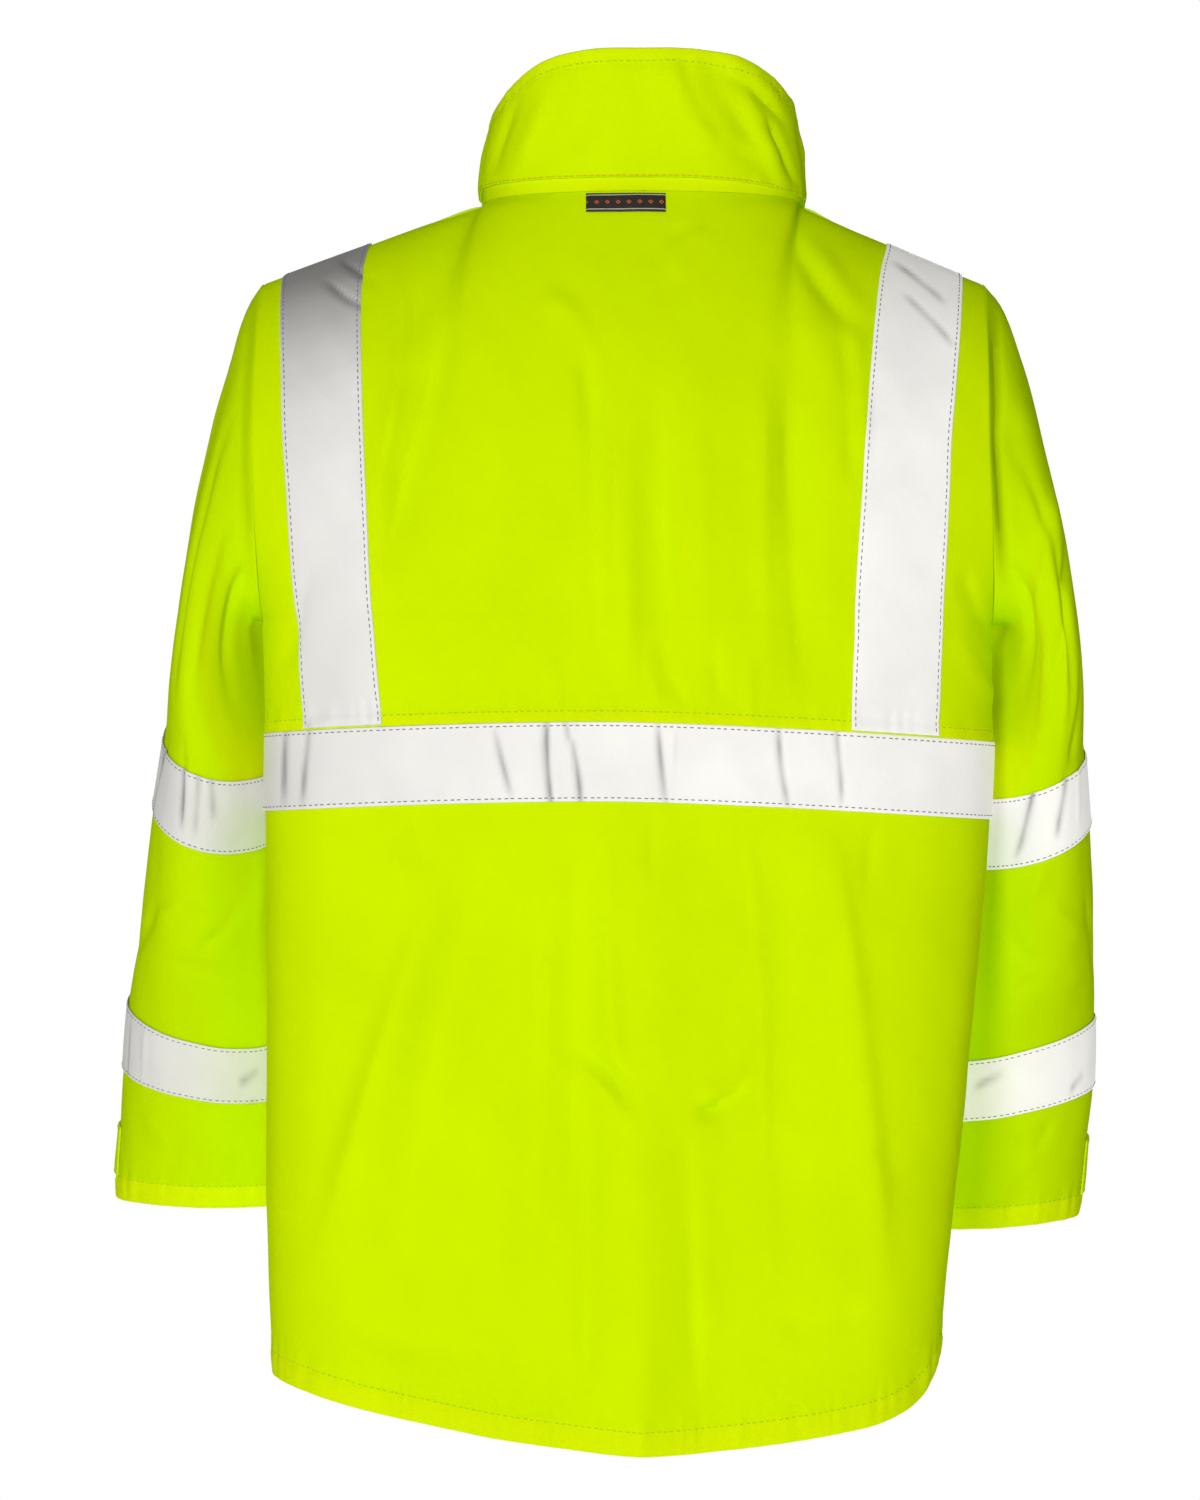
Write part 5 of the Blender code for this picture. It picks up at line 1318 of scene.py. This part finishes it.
def glass_bead_tape(name, colour, metallic, roughness, glow):
    """Open glass beads on silver: pale grey and finely grained, with painted shade where it faces
    upwards and in its creases.

    A painted glow stands in for the light the beads send back, stronger on the wearer's right,
    with a painted blue tint where they face the yellow body, to offset the yellow bounce light."""
    material, tree, shader = new_material(name)
    uv = add_node(tree, "UVMap", {"uv_map": "cloth"})
    beads = add_node(tree, "TexVoronoi", Vector=uv, Scale=1000.0 / BEAD_SIZE_MM)
    place = add_node(tree, "TexCoord").outputs["Object"]
    creasing = add_node(tree, "TexNoise", Vector=place, Scale=120.0, Detail=4.0, Distortion=0.8)
    cloud = add_node(tree, "TexNoise", Vector=place, Scale=22.0, Detail=3.0)
    tone = add_node(tree, "MapRange", Value=cloud, From_Min=0.3, From_Max=0.7, To_Min=0.93, To_Max=1.0)
    side = add_node(tree, "SeparateXYZ", Vector=place).outputs["X"]
    facing = add_node(tree, "SeparateXYZ", Vector=add_node(tree, "NewGeometry").outputs["Normal"])
    # Painted shade: the tape is darker where it faces upwards, darkest on the wearer's left
    darkest_top_shade = add_node(tree, "MapRange", Value=side, From_Min=0.12, From_Max=-0.12, To_Min=0.36,
                       To_Max=0.92)
    painted_top_shade = add_node(tree, "MapRange", Value=facing.outputs["Z"], From_Min=0.30, From_Max=0.80,
                      To_Min=1.0, To_Max=darkest_top_shade)
    tone = add_node(tree, "Math", {"operation": "MULTIPLY"}, i0=tone, i1=painted_top_shade)
    # Painted shade in the ribbon's crease troughs, carried in its doubled mark
    crease_shade = add_node(tree, "Attribute", {"attribute_name": "doubled"}).outputs["Fac"]
    crease_shaded = add_node(tree, "MapRange", Value=crease_shade, To_Min=1.0, To_Max=CREASE_SHADE_TONE)
    tone = add_node(tree, "Math", {"operation": "MULTIPLY"}, i0=tone, i1=crease_shaded)
    shade = add_node(tree, "VectorMath", {"operation": "SCALE"}, i0=linear(colour)[:3], Scale=tone)
    grain = add_node(tree, "Bump", Strength=0.25, Distance=0.00015, Height=beads)
    soft = add_node(tree, "Bump", Strength=0.5, Distance=0.0006, Height=creasing, Normal=grain)
    # Painted glow for the light the beads send back, stronger on the wearer's right, with a painted blue
    # tint where the tape faces the body, offsetting the yellow light bounced from it
    painted_glow_by_side = add_node(tree, "MapRange", Value=side, From_Min=0.20, From_Max=-0.28, To_Min=0.8,
                        To_Max=2.0)
    apart = add_node(tree, "Math", {"operation": "MULTIPLY"}, i0=facing.outputs["X"], i1=side)
    beside = add_node(tree, "MapRange", Value=apart, From_Min=-0.01, From_Max=-0.14)
    painted_bounce_offset = add_node(tree, "Mix", {"data_type": "VECTOR"}, i0=beside, i4=(1.0, 1.0, 1.0),
                    i5=PAINTED_BOUNCE_OFFSET_TINT)
    shade_with_bounce_offset = add_node(tree, "VectorMath", {"operation": "MULTIPLY"}, i0=shade, i1=painted_bounce_offset)
    painted_glow = add_node(tree, "VectorMath", {"operation": "SCALE"}, i0=shade_with_bounce_offset, Scale=painted_glow_by_side)
    fill(shader, Base_Color=shade, Normal=soft, Emission_Color=painted_glow, Emission_Strength=glow,
         Metallic=metallic, Roughness=roughness)
    return material


tape_silver = glass_bead_tape("glass_bead_reflective_ribbon", TAPE_SILVER, metallic=0.05, roughness=0.55,
                              glow=0.30)
tape_backing = glass_bead_tape("polyester_ribbon_backing", TAPE_BACKING, metallic=0.0, roughness=0.8,
                               glow=0.0)


def add_tape(name, node, surface, crease_shade, around=False):
    """A tape on a surface, with painted shade in its creases, passed as its doubled mark."""
    tape = build_shell(name, *surface, TAPE_CLOTH, TAPE_LIFT, around=around, doubled=crease_shade)
    finish_cloth(tape, [node], (tape_silver, tape_backing))


def crease_shade_mark(x, z, creases):
    """0 on flat ribbon, up to 1 in its troughs, where painted shade greys the beads."""
    return np.clip(-crease_depth(x, z, creases) / CREASE_FULLY_SHADED, 0.0, 1.0)


tape_surfaces = {}
for panel in ("back", "left", "right"):
    rows, columns = panel_places(panel, TAPE_LOW_ROW, TAPE_HIGH_ROW, TAPE_ROW_SPACING, TAPE_FINE_SPACING)
    surface = body_surface(panel, rows, columns)
    tape_surfaces["waist_" + panel] = surface
    behind = panel == "back"
    crease_shade = crease_shade_mark(surface[0][..., 0], surface[0][..., 2], RIBBON_CREASES if behind else [])
    add_tape("waist_ribbon_" + panel, "waist_tape_" + panel, surface, crease_shade)

for key in ("left", "right"):
    half = (PANELS["back"].shape[1] - 1) // 2
    last = PANELS[key].shape[1] - 1
    first = half - BRACE_LAST if key == "left" else half + BRACE_FIRST
    columns = places_between(turned(PANELS["back"]), first, first + BRACE_LAST - BRACE_FIRST,
                             TAPE_SPACING)
    front_columns = half - columns if key == "left" else last - (columns - half)
    start = TAPE_HIGH_ROW + BRACE_END_GAP / np.diff(mean_run(PANELS["back"]))[TAPE_HIGH_ROW]
    up_rows = places_between(PANELS["back"], start, SHOULDER_ROW, TAPE_SPACING)
    down_rows = places_between(PANELS[key], start, SHOULDER_ROW, TAPE_SPACING)[::-1]
    up_points, _ = body_surface("back", up_rows, columns, cape_hem)
    down_points, _ = body_surface(key, down_rows, front_columns)
    points = np.concatenate((up_points, down_points[1:]))
    tape_surfaces["brace_" + key] = points, normals_of(points)
    add_tape("brace_ribbon_" + key, "brace_tape_" + key, tape_surfaces["brace_" + key],
             crease_shade_mark(points[..., 0], points[..., 2], RIBBON_CREASES))

for key, grid in SLEEVE_GRIDS.items():
    for where, (first, last) in (("upper", UPPER_TAPE_ROWS), ("lower", LOWER_TAPE_ROWS)):
        rows = places_between(grid, first, last, TAPE_ROW_SPACING)
        columns = round_places(grid, TAPE_FINE_SPACING)
        surface = sleeve_surface(key, rows, columns)
        name = where + "_" + key
        tape_surfaces[name] = surface
        crease_shade = crease_shade_mark(*sleeve_places(key, columns, surface[0]), sleeve_creases(key))
        add_tape("sleeve_ribbon_" + name, "sleeve_tape_" + name, surface, crease_shade,
                 around=True)

# ---------------------------------------------------------------------------------------------
# The stitching: lockstitch in polyester thread, two rows along each tape, one along each hem,
# the front edges, the collar and the cuff tabs. Each stitch is a short raised thread.
# ---------------------------------------------------------------------------------------------
TAPE_THREAD = "#8A8296"
# The free edge's stitches are real, and their warm orange is a painted shadow line under the collar's
# free edge
COLLAR_EDGE_THREAD_AND_SHADE = "#F2CE08"
COLLAR_EDGE_INSET = 0.0012
SHELL_THREAD = "#C2E808"
STITCH_PERIOD = 0.0043
STITCH_LENGTH = 0.0027
THREAD_RADIUS = 0.00034
THREAD_FLATNESS = 0.8
THREAD_TWISTS_PER_METRE = 2400.0
EDGE_STITCH_LENGTH = 0.0038
STITCH_STRAY = 0.06
STITCH_STRAY_TURN = 911.0
STITCH_PROFILE = [(0.0, 0.55, -0.45), (0.2, 1.0, 0.25), (0.8, 1.0, 0.25), (1.0, 0.55, -0.45)]
THREAD_SIDES = 4


def stitch_line(points, normals, inset, lift):
    """Line on a surface at an inset from its first row, or from its last one if negative."""
    up = run_up(points)
    numbers = np.arange(len(up))
    wanted = inset if inset >= 0.0 else up[-1] + inset
    wanted = np.broadcast_to(wanted, (points.shape[1],))
    rows = np.array([np.interp(wanted[c], up[:, c], numbers) for c in range(points.shape[1])])
    columns = np.arange(points.shape[1])
    outs = unit(sample(normals, rows, columns))
    return sample(points, rows, columns) + outs * lift, outs


def line_run(line):
    """Distance along a line from its first point."""
    return np.concatenate(([0.0], np.cumsum(np.linalg.norm(np.diff(line, axis=0), axis=1))))


def on_line(values, run, distances):
    """Values at distances along a line whose own ones lie at run."""
    return np.stack([np.interp(distances, run, values[:, k]) for k in range(3)], axis=-1)


def thread_ring(middle, out, side, thick, height):
    """Four corners round a thread at one place of each stitch, sunk or raised by height."""
    centre = middle + out * THREAD_RADIUS * height
    up, across = out * THREAD_RADIUS * thick * THREAD_FLATNESS, side * THREAD_RADIUS * thick
    return np.stack((centre + across, centre + up, centre - across, centre - up), axis=1)


def lay_stitches(name, lines, colour, length=STITCH_LENGTH):
    """One joined mesh of short threads along the lines."""
    blocks = []
    for line, outs in lines:
        run = line_run(line)
        starts = np.arange(STITCH_PERIOD / 2.0, run[-1] - STITCH_PERIOD, STITCH_PERIOD)
        starts = starts + STITCH_STRAY * STITCH_PERIOD * np.sin(starts * STITCH_STRAY_TURN)
        ahead = unit(on_line(line, run, starts + length) - on_line(line, run, starts))
        rings = []
        for share, thick, height in STITCH_PROFILE:
            out = unit(on_line(outs, run, starts + length * share))
            middle = on_line(line, run, starts + length * share)
            rings.append(thread_ring(middle, out, np.cross(ahead, out), thick, height))
        blocks.append(np.concatenate(rings, axis=1))
    corners = np.concatenate(blocks).reshape(-1, 3)
    sides = THREAD_SIDES
    count = sides * len(STITCH_PROFILE)
    pattern = [tuple(range(sides)), tuple(range(count - 1, count - sides - 1, -1))]
    pattern += [(k + (i + 1) % sides, k + i, k + sides + i, k + sides + (i + 1) % sides)
                for k in range(0, count - sides, sides) for i in range(sides)]
    first = np.arange(len(corners) // count)[:, None, None] * count
    faces = (first + np.array(pattern)[None]).reshape(-1, 4)
    mesh = bpy.data.meshes.new(name)
    mesh.from_pydata(corners.tolist(), [], faces.tolist())
    mesh.shade_smooth()
    item = link_object(name, mesh)
    item.data.materials.append(spun_thread(name + "_thread", colour))
    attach(item, "jacket")


def spun_thread(name, colour):
    """Twisted polyester thread: matt, with a fine slanting twist that lightens its crown."""
    material, tree, shader = new_material(name)
    place = add_node(tree, "TexCoord").outputs["Object"]
    twist = add_node(tree, "TexWave", {"bands_direction": "DIAGONAL"}, Vector=place,
                     Scale=THREAD_TWISTS_PER_METRE * WAVE_PERIOD, Distortion=0.3).outputs["Fac"]
    tone = add_node(tree, "MapRange", Value=twist, To_Min=0.8, To_Max=1.0)
    shade = add_node(tree, "VectorMath", {"operation": "SCALE"}, i0=linear(colour)[:3], Scale=tone)
    fill(shader, Base_Color=shade, Roughness=0.65)
    return material


def tube_line(line):
    return np.concatenate((line[0], line[0][:1])), np.concatenate((line[1], line[1][:1]))


def side_line(surface, inset, lift):
    """A stitch line beside the first column of a surface, or beside its last one if negative."""
    return stitch_line(turned(surface[0]), turned(surface[1]), inset, lift)


tape_lines = []
for name, surface in tape_surfaces.items():
    for inset in (TAPE_STITCH_INSET, -TAPE_STITCH_INSET):
        if name.startswith("brace"):
            tape_lines.append(side_line(surface, inset, TAPE_LIFT))
        else:
            line = stitch_line(*surface, inset, TAPE_LIFT)
            tape_lines.append(line if name.startswith("waist") else tube_line(line))
lay_stitches("tape_stitching", tape_lines, TAPE_THREAD)

FRONT_EDGE_INSET = 0.0075
TAB_STITCH_INSET = 0.0022
shell_lines = [stitch_line(*shell_surfaces[node], CAPE_BAND if node == "back_upper" else HEM_BAND, 0.0)
               for node in ("back_lower", "back_upper", "front_left", "front_right")]
for key, sign in (("left", 1.0), ("right", -1.0)):
    shell_lines.append(tube_line(stitch_line(*shell_surfaces["sleeve_" + key], CUFF_BAND, 0.0)))
    shell_lines.append(side_line(shell_surfaces["front_" + key], sign * FRONT_EDGE_INSET, 0.0))
    for inset in (TAB_STITCH_INSET, -TAB_STITCH_INSET):
        shell_lines.append(stitch_line(*tab_surfaces[key], inset, TAB_LIFT))
    shell_lines.append(side_line(tab_surfaces[key], -sign * TAB_STITCH_INSET, TAB_LIFT))
shell_lines.append(stitch_line(outer_points, outer_normals, -COLLAR_BAND, COLLAR_LIFT))
lay_stitches("shell_stitching", shell_lines, SHELL_THREAD)
edge_line = stitch_line(outer_points, outer_normals, COLLAR_EDGE_INSET, COLLAR_LIFT)
lay_stitches("collar_edge_stitching_and_shade", [edge_line], COLLAR_EDGE_THREAD_AND_SHADE, EDGE_STITCH_LENGTH)

# ---------------------------------------------------------------------------------------------
# The neck label: black damask-woven ribbon, folded under at its ends and sewn to the upper back
# just below the neck seam. Two thin pale borders run along it, with a row of small diamonds.
# ---------------------------------------------------------------------------------------------
LABEL_MIDDLE_X = 0.011
LABEL_HALF_WIDTH = 0.026
LABEL_SAMPLES = 160
LABEL_TOP = 0.30
LABEL_END = 1.40
LABEL_SPACING = 0.0012
LABEL_EDGE = 0.0008
LABEL_REACH = 2.5           # columns of the upper back, either side of its middle
LABEL_BLACK = "#1B1718"
LABEL_BORDER = "#C8C2B6"
LABEL_MARK = "#D8512A"
BORDER_SHARE = 0.38
BORDER_HALF_WIDTH = 0.00035
DIAMOND_PERIOD_MM = 7.0
DIAMOND_OUTER = 0.0017
DIAMOND_INNER = 0.0007
WEFT_PERIOD_MM = 0.5

label_rows = places_between(PANELS["back"], SHOULDER_ROW - LABEL_END, SHOULDER_ROW - LABEL_TOP,
                            LABEL_SPACING, edge=LABEL_EDGE)
middle = (PANELS["back"].shape[1] - 1) // 2
near_label = np.linspace(middle - LABEL_REACH, middle + LABEL_REACH, LABEL_SAMPLES)
wide_points, wide_normals = body_surface("back", label_rows, near_label)
label_x = LABEL_MIDDLE_X + np.arange(LABEL_HALF_WIDTH, -LABEL_HALF_WIDTH, -LABEL_SPACING)


def at_x(values):
    """Values of each label row at the label's own places across."""
    return np.array([[np.interp(-label_x, -line[:, 0], row[:, k]) for k in range(3)]
                     for line, row in zip(wide_points, values)]).transpose(0, 2, 1)


points, normals = at_x(wide_points), unit(at_x(wide_normals))
label = build_shell("neck_label", points, normals, TAPE_CLOTH, 2.0 * SEAM_GAP + TAPE_CLOTH)
label_height = float(run_up(points)[-1].mean())


def woven_label(name, height):
    """Damask weave: black satin with fine weft lines, pale borders and a row of orange diamonds."""
    material, tree, shader = new_material(name)
    uv = add_node(tree, "UVMap", {"uv_map": "cloth"})
    parts = add_node(tree, "SeparateXYZ", Vector=uv)
    across, up = parts.outputs["X"], parts.outputs["Y"]

    def maths(operation, first, second=0.0, third=0.0):
        return add_node(tree, "Math", {"operation": operation}, i0=first, i1=second, i2=third)

    from_middle = maths("ABSOLUTE", maths("SUBTRACT", up, height / 2.0))
    border = maths("COMPARE", from_middle, BORDER_SHARE * height, BORDER_HALF_WIDTH)
    along = maths("PINGPONG", across, DIAMOND_PERIOD_MM / 1000.0 / 2.0)
    diamond = maths("LESS_THAN", maths("ADD", along, from_middle), DIAMOND_OUTER)
    inner = maths("LESS_THAN", maths("ADD", along, from_middle), DIAMOND_INNER)
    mark = maths("SUBTRACT", diamond, inner)
    weft = add_node(tree, "TexWave", {"bands_direction": "Y"}, Vector=uv,
                    Scale=1000.0 * WAVE_PERIOD / WEFT_PERIOD_MM).outputs["Fac"]
    base = add_node(tree, "Mix", {"data_type": "RGBA"}, i0=border, i6=linear(LABEL_BLACK),
                    i7=linear(LABEL_BORDER))
    base = add_node(tree, "Mix", {"data_type": "RGBA"}, i0=mark, i6=base, i7=linear(LABEL_MARK))
    bump = add_node(tree, "Bump", Strength=0.5, Distance=0.0001, Height=weft)
    fill(shader, Base_Color=base, Normal=bump, Roughness=0.55)
    return material


finish_cloth(label, ["back_label"], [woven_label("damask_woven_ribbon", label_height)] * 2)

# ---------------------------------------------------------------------------------------------
# The front zip: two woven tapes behind the edges of the fronts carry moulded acetal teeth that
# interlock up the middle. A box joins them at the foot, and a painted slider closes the top.
# ---------------------------------------------------------------------------------------------
ZIP_TAPE_INNER = 0.0036
ZIP_TAPE_OUTER = 0.0160
ZIP_TAPE_COLUMNS = 5
ZIP_SPACING = 0.0040
ZIP_SAMPLES = 400
ZIP_TAPE_YELLOW = "#B9DE10"
TOOTH_PITCH = 0.0030
TOOTH_LENGTH = 0.0042
TOOTH_HEIGHT = 0.0020
TOOTH_THICKNESS = 0.0022
TOOTH_END_GAP = 0.002
TOOTH_SHIFT = 0.0006
TOOTH_OUTLINE = [(-0.9, 0.0), (-0.75, 0.45), (-0.30, 0.50), (0.05, 0.28), (0.45, 0.28), (0.62, 0.48),
                 (1.0, 0.48), (1.0, -0.48), (0.62, -0.48), (0.45, -0.28), (0.05, -0.28), (-0.30, -0.50),
                 (-0.75, -0.45)]
TOOTH_LAYERS = [(-0.5, 1.0), (0.3, 1.0), (0.5, 0.82)]
TOOTH_BLACK = "#26282A"
ZINC_BLACK = "#2B2C2E"
ZIP_BOX_HEIGHT = 0.0120
SLIDER_HEIGHT = 0.0130
TRIM_GRAIN_MM = 0.6
TRIM_UNEVENNESS = 0.08


def zip_edge(key):
    """One front edge from the hem up through the collar: points, points beside them and normals."""
    edge, beside = (0, 1) if key == "left" else (-1, -2)

    def up_front(front, collar, column):
        return np.concatenate((front[:-1, column], collar[:, column]))

    return (up_front(PANELS[key], COLLAR_GRID, edge), up_front(PANELS[key], COLLAR_GRID, beside),
            up_front(normals_of(PANELS[key]), normals_of(COLLAR_GRID), edge))


zip_edges = {key: zip_edge(key) for key in ("left", "right")}
for key, (edges, besides, outs) in zip_edges.items():
    step = (besides - edges) / np.abs(besides[:, :1] - edges[:, :1])
    distances = np.linspace(ZIP_TAPE_INNER, ZIP_TAPE_OUTER, ZIP_TAPE_COLUMNS)
    if key == "right":
        distances = distances[::-1]
    coarse = edges[:, None] + step[:, None] * (distances[None, :, None] - FRONT_EDGE)
    rows = places_between(coarse, 0, len(coarse) - 1, ZIP_SPACING)
    strip = along_rows(coarse, rows)
    outs = np.broadcast_to(along_rows(outs[:, None], rows), strip.shape)
    tape = build_shell("zip_ribbon_" + key, strip, unit(outs), TAPE_CLOTH, -CLOTH - 2.0 * SEAM_GAP)
    weave = coated_oxford("zip_tape_weave_" + key, ZIP_TAPE_YELLOW, ZIP_TAPE_YELLOW, roughness=0.8)
    finish_cloth(tape, ["zip_tape_" + key], [weave] * 2)

zip_line = (zip_edges["left"][0] + zip_edges["right"][0]) / 2.0
zip_outs = zip_edges["left"][2] + zip_edges["right"][2]
zip_outs[:, 0] = 0.0
zip_rows = np.linspace(0, len(zip_line) - 1, ZIP_SAMPLES)
zip_line = along_rows(zip_line[:, None], zip_rows)[:, 0]
zip_outs = unit(along_rows(unit(zip_outs)[:, None], zip_rows)[:, 0])
zip_run = line_run(zip_line)
tooth_runs = np.arange(ZIP_BOX_HEIGHT + TOOTH_END_GAP, zip_run[-1] - SLIDER_HEIGHT - TOOTH_END_GAP,
                       TOOTH_PITCH / 2.0)

# One tooth: a broad head in the middle of the zip, a narrow neck and a foot on the tape
outline = np.array([(x * TOOTH_LENGTH / 2.0 + TOOTH_SHIFT, z * TOOTH_HEIGHT) for x, z in TOOTH_OUTLINE])
middle_x = outline[:, 0].mean()
count = len(outline)
corners, faces = [], []
for number, distance in enumerate(tooth_runs):
    place = on_line(zip_line, zip_run, distance)
    out = unit(on_line(zip_outs, zip_run, distance))
    rise = np.cross(np.array([-1.0, 0.0, 0.0]), out)
    rise = rise if rise[2] > 0.0 else -rise
    base = len(corners)
    flip = number % 2 == 1
    side = np.array([1.0 if flip else -1.0, 0.0, 0.0])
    for depth, shrink in TOOTH_LAYERS:
        for x, z in outline:
            across = middle_x + (x - middle_x) * shrink
            corners.append(place + side * across + rise * z * shrink + out * depth * TOOTH_THICKNESS)
    ring = [base + i for i in range(count)]
    sides = [(a + shift, b + shift, b + shift + count, a + shift + count)
             for shift in (0, count) for a, b in zip(ring, ring[1:] + ring[:1])]
    ends = [tuple(ring[::-1]), tuple(i + 2 * count for i in ring)]
    faces += [face[::-1] if flip else face for face in sides + ends]
teeth_mesh = bpy.data.meshes.new("zip_teeth")
teeth_mesh.from_pydata([tuple(c) for c in corners], [], faces)
bm = bmesh.new()
bm.from_mesh(teeth_mesh)
bmesh.ops.recalc_face_normals(bm, faces=bm.faces)
bm.to_mesh(teeth_mesh)
bm.free()
teeth = link_object("zip_teeth", teeth_mesh)
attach(teeth, "jacket")
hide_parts("zip_chain")


def hard_trim(name, colour, roughness, metallic=0.0):
    """Moulded or painted hard trim: dark, with a fine grain that breaks up its gloss."""
    material, tree, shader = new_material(name)
    place = add_node(tree, "TexCoord").outputs["Object"]
    grain = add_node(tree, "TexNoise", Vector=place, Scale=1000.0 / TRIM_GRAIN_MM, Detail=2.0)
    gloss = add_node(tree, "MapRange", Value=grain, To_Min=roughness - TRIM_UNEVENNESS,
                     To_Max=roughness + TRIM_UNEVENNESS)
    bump = add_node(tree, "Bump", Strength=0.3, Distance=0.00005, Height=grain)
    fill(shader, Base_Color=linear(colour), Roughness=gloss, Metallic=metallic, Normal=bump)
    return material


acetal = hard_trim("moulded_black_acetal", TOOTH_BLACK, roughness=0.42)
painted_zinc = hard_trim("painted_zinc_casting", ZINC_BLACK, roughness=0.34, metallic=0.6)
teeth_mesh.materials.append(acetal)
for name, finish in (("zip_box", acetal), ("zip_slider", painted_zinc), ("zip_pull", painted_zinc)):
    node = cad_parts[name]
    for slot in node.material_slots:
        slot.material = finish
